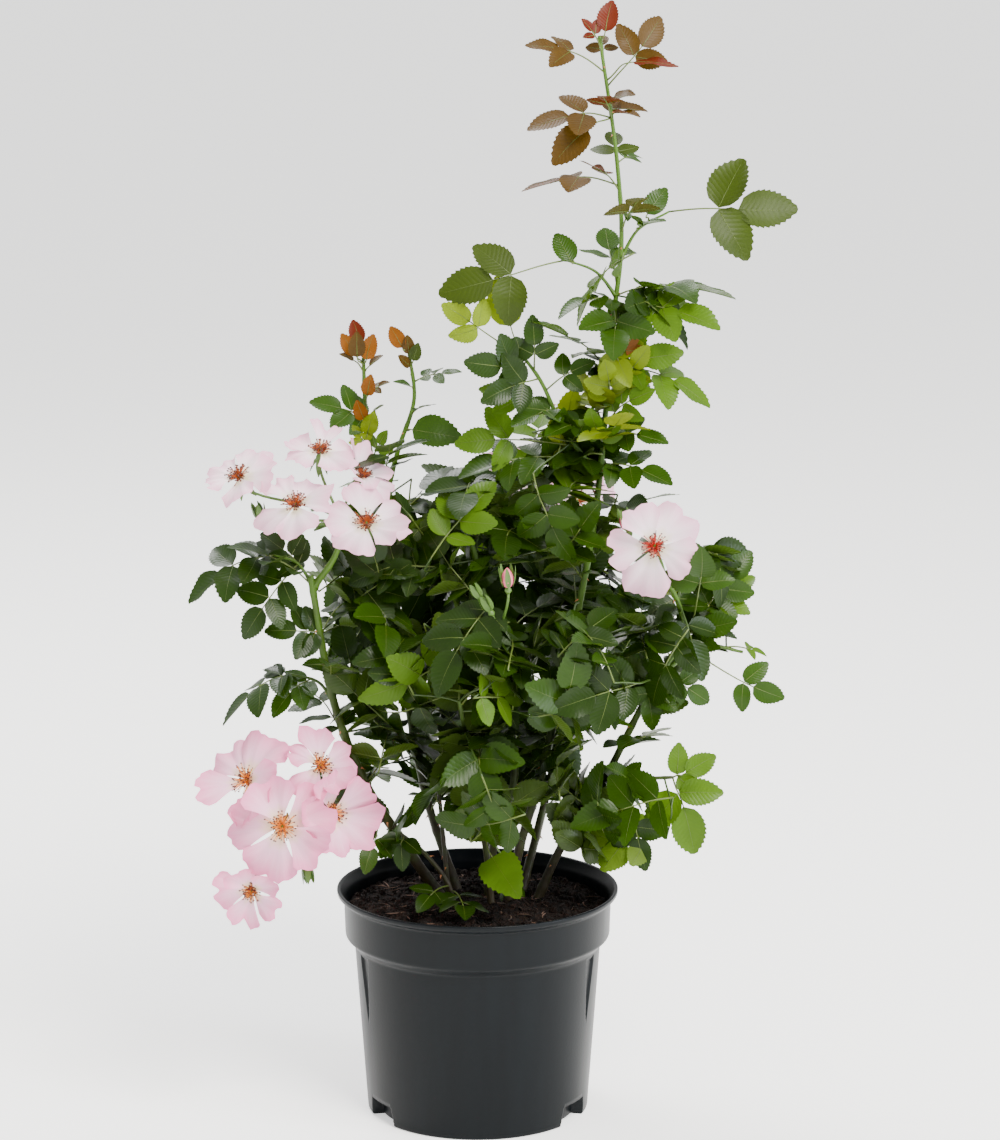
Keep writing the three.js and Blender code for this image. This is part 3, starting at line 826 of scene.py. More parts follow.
def fill_mass(name, own):
    """Tips on the mass's surface, one for every 3250 square millimetres, the golden angle apart.

    The surface is an ellipsoid's, by Thomsen's formula. Each leaf's heading is 0.6 out + 0.5 along
    the surface + 0.12 up x (1 - z), and its face is 0.9 out + 0.55 up with some chance, so that
    the crown shows its faces to the light and its edges to the ground.
    """
    centre, reach = mass_box(name)
    a, b, c = reach**THOMSEN
    surface = 4 * math.pi * ((a * b + a * c + b * c) / 3) ** (1 / THOMSEN)
    count = max(4, round(surface / LEAF_SPACE * SPARSE.get(name, 1.0)))
    k = np.arange(count)
    z = 1 - 2 * (k + 0.5) / count
    turn = k * GOLDEN + own.uniform(0, 2 * math.pi)
    out = np.stack([np.sqrt(1 - z * z) * np.cos(turn), np.sqrt(1 - z * z) * np.sin(turn), z], 1)
    tips = centre + out * reach * own.uniform(0.9, 1.04, (count, 1))
    slide = unit(np.cross(out, own.normal(0, 1, (count, 3))))
    heading = unit(0.6 * out + 0.5 * slide + 0.12 * UP * (1 - z[:, None]))
    face = unit(0.9 * out + 0.55 * UP + own.normal(0, 0.26, (count, 3)))
    length = own.uniform(70, 100, count)
    base = tips - heading * (length * 0.92)[:, None]
    away = base - centre
    base = np.where(np.sum(away * out, 1, keepdims=True) < -20, centre + away * 0.4, base)
    return base, tips, face, length, own.choice([2, 2, 3], count)


# The shares of dark, mid, light and yellow leaves low down, and what they gain by the top.
LOW_TINTS = np.array([0.62, 0.31, 0.06, 0.01])
RISE_OF_TINTS = np.array([-0.5, 0.18, 0.22, 0.1])


def tint_for(tip, own):
    """A leaf's tint by its height: dark below, brighter where it is young and in the light."""
    weights = LOW_TINTS + step(tip[2], 470, 660) * RISE_OF_TINTS
    return ["dark", "mid", "light", "yellow"][own.choice(4, p=weights / weights.sum())]


# A leaf is a list: where its shoot is wanted, its foot, tip, face, length, pairs and tint.
leaves = []
for limb, rows in CLEAR_LEAVES:
    for height_on_it, tip, length, pairs, turned, tint in rows:
        foot, _ = on_limb(limb, height_on_it)
        face = unit((1 - turned) * UP + turned * FRONT + dice.normal(0, 0.1, 3))
        leaves.append([foot, foot, np.array(tip, float), face, length, pairs, tint])
for name in CROWN:
    for base, tip, face, length, pairs in zip(*fill_mass(name, dice)):
        leaves.append([base, None, tip, face, length, pairs, tint_for(tip, dice)])

# %% Leaves along the canes
# Most canes also bear a leaf every few centimetres of their height, each turned on from the last
# by the golden angle. Limb, lowest and highest leaf, the rise between them and their length.
CANE_LEAVES = [
    ("left_cane", 270, 440, 42, 74),
    ("centre_cane", 250, 460, 26, 84),
    ("front_cane", 240, 390, 26, 74),
    ("right_cane", 250, 396, 42, 80),
    ("back_cane", 230, 500, 22, 100),
    ("back_left_cane", 230, 520, 22, 96),
    ("back_right_cane", 230, 450, 22, 96),
    ("leading_cane", 300, 640, 34, 84),
]
for order, (limb, low, high, rise, length) in enumerate(CANE_LEAVES):
    for k, z in enumerate(np.arange(low, high, rise)):
        foot, ahead = on_limb(limb, z)
        turn = k * GOLDEN + order
        out = np.array([math.cos(turn), math.sin(turn), 0.45])
        size = length * dice.uniform(0.85, 1.1)
        tip = foot + size * unit(out + 0.2 * ahead) * 0.96
        face = unit(UP + 0.5 * out + dice.normal(0, 0.2, 3))
        leaves.append([foot, foot, tip, face, size, dice.choice([2, 2, 3]), tint_for(tip, dice)])
# Up the leading cane they shrink and redden, and go to the front and the back by turns.
for k, z in enumerate(np.arange(668, 850, 44)):
    foot, ahead = on_limb("leading_cane", z)
    out = np.array([dice.uniform(-0.35, 0.35), (-1) ** k, 0.5])
    size = 70 - 36 * step(z, 650, 860)
    tip = foot + size * unit(out + 0.3 * ahead)
    tint = ["mid", "olive", "bronze"][int(np.searchsorted([700, 760], z))]
    leaves.append([foot, foot, tip, unit(UP - 0.5 * out), size, 1, tint])
print("compound leaves:", len(leaves))

# %% [markdown]
# ## Twigs
# The leaves hang on side shoots. They grow by space colonisation: every leaf's base pulls on the
# nearest bit of wood, each bit that is pulled puts out a new length towards the sum of the pulls,
# and a base that has been reached stops pulling. So shoots fork where two leaves part company,
# as real ones do, and none goes where there is nothing to carry. How thick a length is follows
# from how many leaves it carries.

# %% Growing them


def grow(stems, targets, own, stride=8.0, reach=12.0, rounds=60):
    """Returns every node, its parent (-1 on a limb) and the node that each target ends on.

    A new node is a stride from its parent, towards the sum of the unit pulls on it + 0.1 up +
    some chance. A target within reach of a node is held by it and pulls no more.
    """
    spots, parent = np.array(stems), np.full(len(stems), -1)
    holder = np.full(len(targets), -1)
    for _ in range(rounds):
        waiting = np.flatnonzero(holder < 0)
        if not len(waiting):
            break
        gaps = targets[waiting][:, None] - spots[None]
        far = np.linalg.norm(gaps, axis=-1)
        nearest = far.argmin(1)
        near = far.min(1) < reach
        holder[waiting[near]] = nearest[near]
        pulls = unit(gaps[np.arange(len(waiting)), nearest][~near])
        pulled, which = np.unique(nearest[~near], return_inverse=True)
        if not len(pulled):
            break
        heading = np.zeros((len(pulled), 3))
        np.add.at(heading, which, pulls)
        heading = unit(unit(heading) + 0.1 * UP + own.normal(0, 0.16, heading.shape))
        spots = np.concatenate([spots, spots[pulled] + stride * heading])
        parent = np.concatenate([parent, pulled])
    for target in np.flatnonzero(holder < 0):
        holder[target] = np.linalg.norm(spots - targets[target], axis=1).argmin()
    return spots, parent, holder


def twig_shapes(spots, parent, holder):
    """A tube for each shoot: it follows the child that carries most, and the others start new ones.

    A node's load is the leaves beyond it, and its radius is 0.5 + 0.24 x the root of its load. The
    nodes are first smoothed three times: half a node's place + a quarter of each neighbour's.
    """
    load = np.zeros(len(spots), int)
    for node in holder:
        while parent[node] >= 0:
            load[node] += 1
            node = parent[node]
    main = np.full(len(spots), -1)
    for node in np.flatnonzero(load):
        rival = main[parent[node]]
        if rival < 0 or load[node] > load[rival]:
            main[parent[node]] = node
    inner = np.flatnonzero((load > 0) & (main >= 0))
    for _ in range(3):
        spots[inner] = 0.5 * spots[inner] + 0.25 * (spots[parent[inner]] + spots[main[inner]])
    made = []
    for node in np.flatnonzero(load):
        before = parent[node]
        if parent[before] >= 0 and main[before] == node:
            continue
        chain = [before, node]
        while main[chain[-1]] >= 0:
            chain.append(main[chain[-1]])
        path = smooth_path(spots[chain], max(5, 3 * len(chain)))
        shares = np.linspace(0, 1, len(chain) - 1)
        carried = np.interp(np.linspace(0, 1, len(path)), shares, load[chain[1:]])
        made.append(tubes(path[None], (0.5 + 0.24 * np.sqrt(carried))[None], 7))
    return join(made)


# %% The side shoots
# Shoots leave the limbs at every fourth point of their routes, from a little above the rim up.
LOWEST_SHOOT = 205
bare = np.concatenate([ROUTES[name][::4] for name in LIMBS])
stems = bare[bare[:, 2] > LOWEST_SHOOT]
grown = [row for row in leaves if row[1] is None]
spots, parent, holder = grow(stems, np.array([row[0] for row in grown]), dice)
twig_shape = twig_shapes(spots, parent, holder)
for row, node in zip(grown, holder):
    row[1] = spots[node]
print("leaves on twigs:", len(grown), "points grown for them:", len(spots) - len(stems))
# This year's wood is smooth and green, without the streaks of older bark.
new_piece("twigs", twig_shape, plain_material("green shoot bark", "#2e4410", 0.45))

# %% [markdown]
# ## The leaves
# Each leaflet is an oval sheet with a toothed edge, folded along its midrib, curled a little down
# at its tip and rippled at its sides, all by chance. A flat card with the outline cut out by
# transparency would be lighter, but it looks like paper from the side and casts the wrong shadow.
# The teeth are made by the grid itself: every second row of its edge stands out and forward.

# %% Leaflets and stalks


def bezier(p0, p1, p2, p3, t):
    """Points of K cubic curves at parameters t."""
    t = np.asarray(t)[..., None]
    return (1 - t) ** 3 * p0 + 3 * t * (1 - t) ** 2 * p1 + 3 * t * t * (1 - t) * p2 + t**3 * p3


ROWS = 23
ACROSS = np.array([-1.0, 0.0, 1.0])
SWELL, TAPER, WIDEST = 0.55, 0.78, 0.4135


def blades(base, axis, face, length, width, own, teeth=0.045):
    """K leaflets. Half width = width x s^0.55 (1 - s)^0.78, scaled to 1 where it is widest.

    Height = fold x |across| - curl x s squared + ripple, so the blade is a shallow keel that
    bends down to its tip. Odd rows of the edge go out by a tooth and forward by a third of a row,
    and even rows go in and back by as much. Returns the blades and the line along each midrib.
    """
    side = unit(np.cross(face, axis))
    face = np.cross(axis, side)
    s = np.linspace(0, 1, ROWS)[:, None]
    outline = s**SWELL * (1 - s) ** TAPER / (WIDEST**SWELL * (1 - WIDEST) ** TAPER)
    edge = (np.abs(ACROSS) == 1) * np.where(np.arange(ROWS) % 2, 1.0, -1.0)[:, None]
    edge = edge * (s > 0.02) * (s < 0.98)
    count = len(base)
    length, width = length[:, None, None], width[:, None, None]
    ranges = ((0.06, 0.42), (0.0, 0.24), (-0.1, 0.1), (-0.1, 0.1))
    fold, curl, sway, wave = (own.uniform(low, high, (count, 1, 1)) for low, high in ranges)
    along = length * (s + 0.016 * edge)
    over = width * (ACROSS * outline * (1 + teeth * edge) + 0.004 * ACROSS)
    over = over + sway * length * s**2
    phase = own.uniform(0, 2 * math.pi, (count, 1, 1))
    up = fold * width * np.abs(ACROSS) * outline - curl * length * s**2
    up = up + wave * width * np.sin(9 * s + phase) * np.abs(ACROSS) * outline
    points = base[:, None, None] + along[..., None] * axis[:, None, None]
    points = points + over[..., None] * side[:, None, None] + up[..., None] * face[:, None, None]
    quads, v, u = grid(ROWS, len(ACROSS))
    uv = np.stack([u, v], 1)
    middle = points[:, :, 1]
    return copies(points.reshape(count, -1, 3), quads[:, ::-1], NO_TRIANGLES, uv), middle


# How far each pair of leaflets is behind the end leaflet, and how long its leaflets are, as shares
# of the leaf's length.
PAIR_BACK = (0.13, 0.36, 0.54)
PAIR_LENGTH = (0.38, 0.34, 0.27)


def leaf_parts(row, own):
    """One leaf's stalk as a curve, and base, axis, face, length and width of its leaflets.

    The stalk arches up from its foot and ends along the last leaflet's axis. The pairs stand out
    from it at 56 degrees or more, wider the further back they are.
    """
    _, foot, tip, face, size, pairs, _ = row
    chord = unit(tip - foot)
    rest = np.linalg.norm(tip - foot)
    face = unit(face - np.dot(face, chord) * chord * 0.6)
    last = size * (0.42 if pairs else 0.7)
    end_axis = unit(chord - 0.16 * face + 0.05 * own.normal(0, 1, 3))
    end = tip - end_axis * last
    curve = (foot, foot + chord * rest * 0.25 + face * rest * 0.1, end - end_axis * rest * 0.22, end)
    run = max(np.linalg.norm(end - foot), 1.0)
    found = [(end, end_axis, face, last, last * 0.33)]
    for pair in range(pairs):
        t = max(0.14, 1 - size * PAIR_BACK[pair] * 1.05 / run)
        spot, after = bezier(*(np.array(p) for p in curve), np.array([t, min(1, t + 0.03)]))
        ahead = unit(after - spot) if np.linalg.norm(after - spot) > 1e-6 else end_axis
        across = unit(np.cross(face, ahead))
        for hand in (-1, 1):
            spread = math.radians(own.uniform(56, 72) + 5 * pair)
            axis = unit(math.cos(spread) * ahead + math.sin(spread) * hand * across
                        + own.uniform(-0.16, 0.12) * face)
            long = size * PAIR_LENGTH[pair] * own.uniform(0.9, 1.08)
            tilt = unit(face + 0.25 * own.normal(0, 1, 3))
            found.append((spot + axis * 0.8, axis, tilt, long, long * own.uniform(0.31, 0.36)))
    return curve, found


# %% Leaf finishes
# Upper side, under side, roughness: the dark leaves are the oldest, thickest and glossiest.
TINTS = {
    "dark": ("#1b2f04", "#344616", 0.3),
    "mid": ("#253e04", "#3e521a", 0.33),
    "light": ("#3f5c08", "#52681a", 0.38),
    "yellow": ("#5e7004", "#6a7612", 0.44),
    "olive": ("#2c3a03", "#423c16", 0.44),
    "amber": ("#6a3c04", "#6c300a", 0.45),
    "bronze": ("#402c02", "#4e1a06", 0.44),
    "red": ("#521802", "#4a1206", 0.46),
}


def leaf_material(name, upper, under, roughness):
    """A thin leaf that lets light through: a waxy skin with blotches of 26 mm, another tone beneath.

    The side veins are a bump on the leaf's own surface coordinates: |sin(34 x (along - 0.42 x the
    distance from the midrib))|, which is eleven slanted ridges a side.
    """
    material, tree, shader = new_material(name, Roughness=roughness, Specular_IOR_Level=0.19)
    facts = add(tree, "ShaderNodeNewGeometry")
    place = add(tree, "ShaderNodeTexCoord")
    blotch = add(tree, "ShaderNodeTexNoise", {"Vector": place.outputs["Object"], "Scale": 38.0})
    tones = {
        0: blotch.outputs["Fac"],
        6: [c * 0.72 for c in linear(upper)[:3]] + [1.0],
        7: [min(1, c * 1.3) for c in linear(upper)],
    }
    top = add(tree, "ShaderNodeMix", tones, data_type="RGBA")
    sides = {0: facts.outputs["Backfacing"], 6: top.outputs[2], 7: linear(under)}
    both = add(tree, "ShaderNodeMix", sides, data_type="RGBA")
    tree.links.new(both.outputs[2], shader.inputs["Base Color"])
    uv = add(tree, "ShaderNodeSeparateXYZ", {"Vector": place.outputs["UV"]})
    off = add(tree, "ShaderNodeMath", {0: uv.outputs["X"], 1: 0.5}, operation="SUBTRACT")
    apart = add(tree, "ShaderNodeMath", {0: off.outputs[0]}, operation="ABSOLUTE")
    slope = {0: apart.outputs[0], 1: -0.42, 2: uv.outputs["Y"]}
    slant = add(tree, "ShaderNodeMath", slope, operation="MULTIPLY_ADD")
    turns = add(tree, "ShaderNodeMath", {0: slant.outputs[0], 1: 34.0}, operation="MULTIPLY")
    wave = add(tree, "ShaderNodeMath", {0: turns.outputs[0]}, operation="SINE")
    ridge = add(tree, "ShaderNodeMath", {0: wave.outputs[0]}, operation="ABSOLUTE")
    bump = add(tree, "ShaderNodeBump", {"Height": ridge.outputs[0], "Strength": 0.12, "Distance": 0.001})
    tree.links.new(bump.outputs[0], shader.inputs["Normal"])
    let_light_through(tree, shader, 0.22, [min(1, c * 1.9) for c in linear(upper)])
    return material


# %% Every leaf, joined by tint
stalks, by_tint, ribs = [], {tint: [] for tint in TINTS}, []
for row in leaves:
    curve, found = leaf_parts(row, dice)
    stalks.append(curve)
    by_tint[row[-1]].extend(found)
STANDS_FOR = {"dark": CROWN, "mid": SPRAYS, "bronze": YOUNG}
for tint, found in by_tint.items():
    base, axis, face, length, width = (np.array(column) for column in zip(*found))
    shape, middle = blades(base, axis, face, length, width, dice)
    ribs.append(middle[:, ::4])
    material = leaf_material(f"{tint} rose leaf", *TINTS[tint])
    new_piece(f"{tint}_leaves", shape, material, STANDS_FOR.get(tint, []))
    print(tint, "leaflets:", len(found))

# %% Stalks and midribs
# Stalks taper from 1.5 to 1 mm across, in nine steps, and midribs from 0.8 to 0.2 mm.
curves = np.array(stalks).transpose(1, 0, 2)[:, :, None]
stalk_lines = bezier(*curves, np.linspace(0, 1, 9)[None].repeat(len(stalks), 0))
stalk_radii = np.linspace(0.75, 0.5, 9)[None].repeat(len(stalks), 0)
rib_lines = np.concatenate(ribs)
rib_radii = np.linspace(0.42, 0.1, rib_lines.shape[1])[None].repeat(len(rib_lines), 0)
# Both are smooth and fleshy, paler than the leaves, so they show as light lines on them.
stalk_green = plain_material("leaf stalk, pale green", "#4a5a1a", 0.5)
new_piece("leaf_stalks", tubes(stalk_lines, stalk_radii, 5), stalk_green)
new_piece("leaf_midribs", tubes(rib_lines, rib_radii, 3), stalk_green)

# %% [markdown]
# ## The blooms
# Single roses: five broad, notched petals round a boss of stamens, in clusters that open one by
# one, so each cluster also has a bud. Each petal is a sheet laid out by distance and angle from
# the bloom's centre. Cupping, waves and a notch are terms added to its height and its edge.

# %% Petals


def spin(facing, roll):
    """Three axes of a bloom: two across it, turned by roll, and the one that it faces along."""
    facing = unit(np.array(facing, float))
    first = unit(np.cross(facing, [0.31, 0.22, 0.92]))
    second = np.cross(facing, first)
    a = math.cos(roll) * first + math.sin(roll) * second
    return np.stack([a, np.cross(facing, a), facing])


PETAL_ROWS, PETAL_COLUMNS = 15, 17


def petals(centre, radius, facing, roll, open_by, own):
    """Five sheets, by rho from the centre (0 to 1) and w across the petal (-1 to 1).

    Reach = radius x (1 - 0.25 x |w|^3 - notch + frill), at angles of 33 to 43 degrees x w either
    side of the petal's own, less near the centre. Height = rho x reach x sin(lift) + radius x
    (0.1 x w^2 x rho + roll back x rho^3 + ripple x rho^2 + twist x w x rho^0.8), and the petals
    stand 0, 0.9 and 1.8 mm up by turns, so that they overlap.
    """
    rho = np.linspace(0.03, 1, PETAL_ROWS)[:, None]
    w = np.linspace(-1, 1, PETAL_COLUMNS)[None]
    made = []
    axes = spin(facing, roll)
    for petal in range(5):
        notch = own.uniform(0.08, 0.2) * np.exp(-((w / own.uniform(0.2, 0.34)) ** 2))
        frill = 0.025 * np.sin(11 * w + own.uniform(0, 6))
        frill = frill + 0.015 * np.sin(23 * w + own.uniform(0, 6))
        reach = radius * own.uniform(0.9, 1.05) * (1 - 0.25 * np.abs(w) ** 3 - notch + frill)
        heading = petal * 2 * math.pi / 5 + own.uniform(-0.1, 0.1)
        spread = math.radians(own.uniform(33, 43)) * (0.62 + 0.38 * rho**0.7)
        angle = heading + spread * w
        lift = math.radians(own.uniform(-10, 30) + (1 - open_by) * 50)
        flat = rho * reach * math.cos(lift) * (1 - 0.06 * rho**2)
        roll_back = own.uniform(-0.3, 0.12)
        high = rho * reach * math.sin(lift) + radius * (0.1 * w**2 * rho + roll_back * rho**3)
        ripple = 0.08 * np.sin(3.6 * w + own.uniform(0, 6))
        ripple = ripple + 0.03 * np.sin(9 * w + own.uniform(0, 6))
        high = high + radius * rho**2 * ripple + 0.9 * (petal % 3)
        high = high + radius * own.uniform(0.05, 0.13) * w * rho**0.8
        points = np.stack([flat * np.cos(angle), flat * np.sin(angle), high + 0 * angle], -1)
        quads, v, u = grid(PETAL_ROWS, PETAL_COLUMNS)
        made.append((points.reshape(-1, 3) @ axes + centre, quads, NO_TRIANGLES, np.stack([u, v], 1)))
    return join(made)


# %% Stamens, hips and buds


def boss(centre, radius, facing, own, count=96):
    """Stamens: filaments that lean out by 14 to 70 degrees, each with its anther, a ball.

    They are the golden angle apart, and each arches up a little: height = length x t x cos(lean)
    + 0.05 x length x sin(pi x t), and 0.6 mm to start from.
    """
    axes = spin(facing, own.uniform(0, 6))
    k = np.arange(count)
    lean = np.radians(14 + 56 * ((k + 0.5) / count) ** 0.6 + own.uniform(-6, 6, count))[:, None]
    turn = (k * GOLDEN + own.uniform(-0.2, 0.2, count))[:, None]
    long = radius * own.uniform(0.13, 0.33, count)[:, None]
    t = np.linspace(0, 1, 5)[None]
    out = long * t * np.sin(lean)
    high = long * t * np.cos(lean) + 0.05 * long * np.sin(math.pi * t) + 0.6
    paths = np.stack([out * np.cos(turn), out * np.sin(turn), high], -1) @ axes + centre
    threads = tubes(paths, np.full((count, 5), 0.24), 4)
    size = own.uniform(0.6, 0.95, (count, 1, 1))
    knobs = BALL[None] * size * np.array([1.0, 1.0, 0.7]) + paths[:, -1:]
    uv = BALL[:, :2] * 0.5 + 0.5
    return threads, copies(knobs, NO_QUADS, BALL_FACES, uv)


def egg(centre, axis, length, width, rings=10, sides=12):
    """A bud or hip: a ball of revolution, radius = width x sin(pi s)^0.7 x (1.25 - 0.5 s)."""
    s = np.linspace(0.02, 0.98, rings)
    path = np.array(centre) + (s[:, None] - 0.5) * length * unit(np.array(axis, float))
    return tubes(path[None], (width * np.sin(math.pi * s) ** 0.7 * (1.25 - 0.5 * s))[None], sides)


# %% The clusters
# Each bloom: its centre, radius, facing, how open it is, and the limb that its stalk leaves.
CLUSTERS = {
    "upper_left_blossom": [
        ((-184, -50, 528), 35, (-0.4, -0.65, 0.85), 0.95, "upper_bloom_bough"),
        ((-122, -36, 546), 34, (0.1, -0.5, 1.0), 0.95, "upper_bloom_bough"),
        ((-140, -64, 508), 38, (-0.1, -0.6, 1.0), 0.95, "upper_bloom_bough"),
        ((-86, -60, 493), 40, (0.2, -0.8, 0.75), 1.0, "upper_bloom_bough"),
        ((-92, -22, 523), 34, (0.6, -0.4, 0.9), 0.85, "upper_bloom_bough"),
    ],
    "lower_left_blossom": [
        ((-152, -86, 258), 50, (-0.05, -1, 0.22), 1.0, "lower_bloom_bough"),
        ((-180, -56, 287), 47, (-0.5, -0.8, 0.45), 0.9, "lower_bloom_bough"),
        ((-124, -58, 298), 37, (0.25, -0.7, 0.8), 0.7, "lower_bloom_bough"),
        ((-177, -76, 204), 34, (-0.15, -1, -0.25), 0.9, "lower_bloom_bough"),
        ((-116, -62, 262), 44, (0.5, -0.85, 0.2), 0.9, "lower_bloom_bough"),
    ],
    "right_blossom": [
        ((138, -70, 478), 43, (-0.08, -1, 0.3), 1.0, "right_bloom_bough"),
    ],
    "back_blossom": [
        ((28, 168, 484), 36, (-0.2, 1, 0.4), 0.95, "back_cane"),
        ((82, 166, 468), 36, (0.35, 1, 0.3), 0.9, "back_cane"),
        ((54, 174, 446), 31, (0.1, 1, 0.1), 0.9, "back_cane"),
    ],
}
# The colour of each cluster's filaments, which deepens as a bloom ages.
FILAMENTS = {
    "upper_left_blossom": "orange",
    "lower_left_blossom": "yellow",
    "right_blossom": "red",
    "back_blossom": "orange",
}
# Each bud: its centre, its heading, its length, its radius, if it shows pink, and its limb.
BUDS = [
    ((-170, -44, 500), (-0.2, -0.3, 1), 13, 3.8, False, "upper_bloom_bough"),
    ((-134, -58, 212), (0.2, -0.2, -1), 14, 4.2, False, "lower_bloom_bough"),
    ((116, -52, 494), (-0.3, 0, 1), 17, 5.0, True, "right_bloom_bough"),
    ((24, -90, 457), (-0.05, -0.1, 1), 17, 5.0, True, "front_cane"),
    ((8, -80, 434), (-0.5, 0, 1), 13, 3.6, False, "front_cane"),
    ((0, -78, 443), (-0.7, 0, 1), 12, 3.2, False, "front_cane"),
    ((40, 150, 502), (0, 0.3, 1), 14, 4.2, True, "back_cane"),
]
# The thin shoot that bears the front buds, and goes on from the front cane.
BUD_SHOOT = [(2, -36, 330), (8, -52, 366), (16, -66, 396)]
print("blooms:", sum(len(blooms) for blooms in CLUSTERS.values()), "buds:", len(BUDS))

# %% Their stalks and sepals


def flower_stalk(limb, centre, axis, own):
    """A stalk over 2 mm thick from a limb's tip, arching to meet the bloom along its own axis."""
    foot = np.array(BUD_SHOOT[-1], float) if limb == "front_cane" else ROUTES[limb][-1]
    axis = unit(np.array(axis, float))
    end = np.array(centre, float) - axis * 5
    rest = np.linalg.norm(end - foot)
    p1 = foot + UP * rest * 0.35 + own.normal(0, 1.5, 3)
    path = bezier(foot, p1, end - axis * rest * 0.3, end, np.linspace(0, 1, 14))
    return tubes(path[None], np.linspace(1.25, 1.05, 14)[None], 8)


def five_ways(axes):
    """Five directions a fifth of a turn apart, in the plane of a bloom's first two axes."""
    turns = [k * 2 * math.pi / 5 for k in range(5)]
    return [math.cos(turn) * axes[0] + math.sin(turn) * axes[1] for turn in turns]


petal_parts, threads, knobs, greens, pinks, sepals = {}, {}, [], [], [], []
for cluster, blooms in CLUSTERS.items():
    petal_parts[cluster] = []
    for centre, radius, facing, open_by, limb in blooms:
        centre, ahead = np.array(centre, float), unit(np.array(facing, float))
        roll = dice.uniform(0, 6)
        petal_parts[cluster].append(petals(centre, radius, facing, roll, open_by, dice))
        lines, dots = boss(centre, radius, facing, dice)
        threads.setdefault(FILAMENTS[cluster], []).append(lines)
        knobs.append(dots)
        greens.append(egg(centre - ahead * 4.5, ahead, 10, 3.2))
        greens.append(egg(centre + ahead * 1.6, ahead, 5, 2.2))
        greens.append(flower_stalk(limb, centre - ahead * 4, facing, dice))
        # Sepals lie between the petals, a tenth of a turn on, and are bent back on an open bloom.
        for out in five_ways(spin(facing, roll + 0.63)):
            sepals.append((centre - ahead * 3.4, unit(0.7 * out - ahead), ahead, 17.0, 2.4))
for centre, axis, length, width, pink, limb in BUDS:
    centre, ahead = np.array(centre), unit(np.array(axis, float))
    (pinks if pink else greens).append(egg(centre, ahead, length, width))
    greens.append(egg(centre - ahead * length * 0.55, ahead, 8, 2.7))
    greens.append(flower_stalk(limb, centre - ahead * length * 0.4, axis, dice))
    # On a bud they still clasp it.
    for out in five_ways(spin(ahead, 0.0)):
        spot = centre - ahead * length * 0.42 + out * width * 0.75
        sepals.append((spot, unit(ahead + 0.22 * out), out, length * 1.05, 2.3))
shoot_line = smooth_path(BUD_SHOOT, 16)
greens.append(tubes(shoot_line[None], np.linspace(1.7, 1.3, 16)[None], 9))

# %% Their colours
# Palest pink that deepens to the rim, and cream at the base.


def petal_material(name, rim, middle_tone, base_tone):
    """A petal: three tones from its base to its rim, and a third of it lets light through.

    Faint veins run out along it, from noise stretched 14 to 1, and they move the tones a little.
    """
    material, tree, shader = new_material(name, Roughness=0.55, Sheen_Weight=0.15)
    place = add(tree, "ShaderNodeTexCoord")
    uv = add(tree, "ShaderNodeSeparateXYZ", {"Vector": place.outputs["UV"]})
    stretched = add(tree, "ShaderNodeMapping", {"Vector": place.outputs["UV"], "Scale": (28, 2, 1)})
    veins = add(tree, "ShaderNodeTexNoise", {"Vector": stretched.outputs[0], "Scale": 1.0})
    spread = {0: veins.outputs["Fac"], 1: 0.3, 2: -0.15}
    shift = add(tree, "ShaderNodeMath", spread, operation="MULTIPLY_ADD")
    away = add(tree, "ShaderNodeMath", {0: uv.outputs["Y"], 1: shift.outputs[0]}, operation="ADD")
    ramp = add(tree, "ShaderNodeValToRGB", {"Fac": away.outputs[0]})
    set_stops(ramp, (0.1, base_tone), (0.42, middle_tone), (1.0, rim))
    tree.links.new(ramp.outputs[0], shader.inputs["Base Color"])
    relief = {"Height": veins.outputs["Fac"], "Strength": 0.25, "Distance": 0.001}
    bump = add(tree, "ShaderNodeBump", relief)
    tree.links.new(bump.outputs[0], shader.inputs["Normal"])
    let_light_through(tree, shader, 0.35, ramp.outputs[0])
    return material


blush = petal_material("rose petal, blush white", "#eeb2cb", "#fbe6ee", "#f3ecc4")
shell = petal_material("rose petal, shell pink", "#e886b0", "#f4bfd6", "#f1e2b0")
for cluster, parts in petal_parts.items():
    material = shell if cluster == "lower_left_blossom" else blush
    new_piece(f"petals_of_{cluster}", join(parts), material, [cluster])

# The small parts are smooth and a little waxy, but ripe anthers are powdery and dull.
PLAIN = {
    "yellow filament": ("#e8871c", 0.5),
    "orange filament": ("#b0521c", 0.5),
    "red filament": ("#c02014", 0.5),
    "ripe anther": ("#4c180c", 0.6),
    "sepal green": ("#41601a", 0.5),
    "rose pink bud": ("#d9657c", 0.5),
}
plain = {name: plain_material(name, *looks) for name, looks in PLAIN.items()}
for tint, parts in threads.items():
    new_piece(f"{tint}_filaments", join(parts), plain[f"{tint} filament"])
new_piece("anthers", join(knobs), plain["ripe anther"])
new_piece("hips_and_flower_stalks", join(greens), plain["sepal green"])
new_piece("pink_buds", join(pinks), plain["rose pink bud"])
base, axis, face, length, width = (np.array(column) for column in zip(*sepals))
shape, _ = blades(base, axis, face, length, width, dice, teeth=0.0)
new_piece("sepals", shape, plain["sepal green"])

# %% [markdown]
# ## The studio
# A wide pale floor, a broad key light high on the right in front, a tall strip further out on the
# right that draws the upright shine on the pot, a light behind on the left that comes through the
# leaves, and a bright world: the soft, even light that plants are sold by. With no wall, the plant
# can be walked round. The lens is long, so the pot's sides stay upright.

# %% Floor and lights


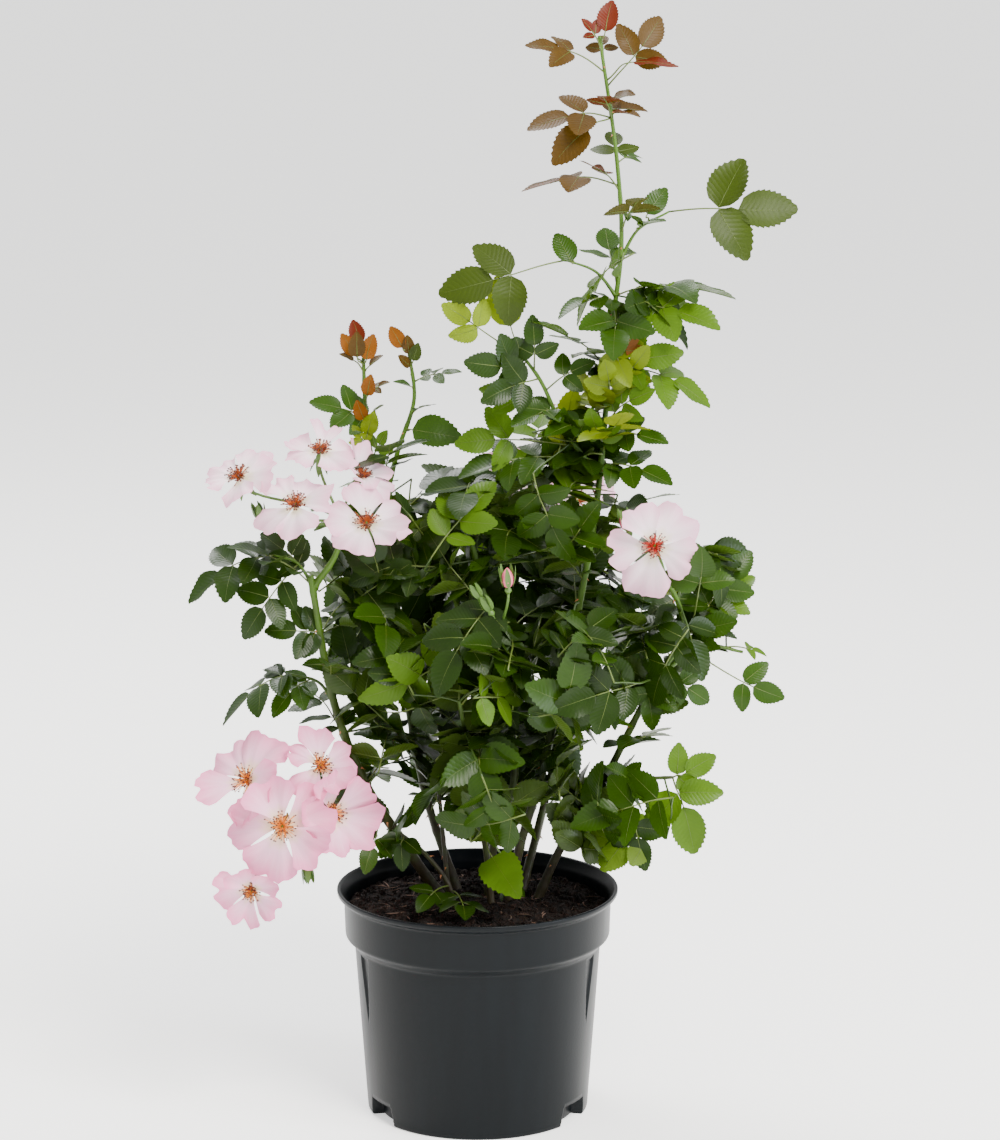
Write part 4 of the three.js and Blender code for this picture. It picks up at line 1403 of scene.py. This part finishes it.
def studio_floor(radius=30.0, sides=96):
    """A round floor so wide that its edge is hidden from every side: a fan about its centre."""
    turn = np.linspace(0, 2 * math.pi, sides, endpoint=False)
    rim = np.stack([np.cos(turn), np.sin(turn), 0 * turn], 1) * radius
    mesh = bpy.data.meshes.new("studio_floor")
    fan = [(0, 1 + k, 1 + (k + 1) % sides) for k in range(sides)]
    mesh.from_pydata([(0, 0, 0), *rim.tolist()], [], fan)
    made = bpy.data.objects.new("studio_floor", mesh)
    bpy.context.scene.collection.objects.link(made)
    return made


def lamp(name, spot, aim, size, watts, colour="#ffffff"):
    """A rectangular soft light at spot, turned to face aim."""
    data = bpy.data.lights.new(name, "AREA")
    data.shape, data.size, data.size_y = "RECTANGLE", *size
    data.energy, data.color = watts, linear(colour)[:3]
    made = bpy.data.objects.new(name, data)
    made.location = spot
    away = np.array(aim, float) - np.array(spot, float)
    flat = math.hypot(away[0], away[1])
    made.rotation_euler = (math.atan2(flat, -away[2]), 0, math.atan2(-away[0], away[1]))
    made.visible_camera = False
    bpy.context.scene.collection.objects.link(made)
    return made


floor = studio_floor()
# The floor is lit from beneath as well, as a light table is, which keeps it pale far away.
glow = {"Emission_Color": linear("#ffffff"), "Emission_Strength": 0.7}
card, _, _ = new_material("white studio floor", Base_Color=linear("#f4f4f2"), Roughness=0.95, **glow)
floor.data.materials.append(card)
lamp("key_softbox", (1.1, -1.9, 2.6), (0, 0, 0.45), (1.2, 1.2), 190, "#fffaf2")
lamp("strip_softbox", (2.6, -1.2, 1.2), (0, 0, 0.3), (0.7, 1.7), 80, "#eef4ff")
lamp("back_softbox", (-0.9, 1.5, 2.5), (0, 0, 0.5), (1.2, 1.2), 90)
# The light all round is brighter overhead than at the horizon, as under a large light tent.
world = bpy.data.worlds.new("studio")
world.use_nodes = True
tree = world.node_tree
aim = add(tree, "ShaderNodeTexCoord")
level = add(tree, "ShaderNodeSeparateXYZ", {"Vector": aim.outputs["Generated"]})
tent = add(tree, "ShaderNodeMapRange", {"Value": level.outputs["Z"], 1: 0.0, 2: 1.0, 3: 0.9, 4: 1.5})
tree.links.new(tent.outputs[0], tree.nodes["Background"].inputs["Strength"])
tree.nodes["Background"].inputs["Color"].default_value = linear("#ffffff")
bpy.context.scene.world = world

# %% The camera
# Nearly three metres off and a little above the plant, looking down by a few degrees.
CAMERA_SPOT = (0.0182, -2.914, 1.043)
LOOKS_DOWN = 11.6
lens = bpy.data.cameras.new("camera")
lens.lens, lens.sensor_width = 118.2, 36.0
camera = bpy.data.objects.new("camera", lens)
camera.location = CAMERA_SPOT
camera.rotation_euler = (math.radians(90 - LOOKS_DOWN), 0, 0)
bpy.context.scene.collection.objects.link(camera)
bpy.context.scene.camera = camera
print("camera:", round(math.hypot(*CAMERA_SPOT[:2]), 2), "m away, looks down by", LOOKS_DOWN)
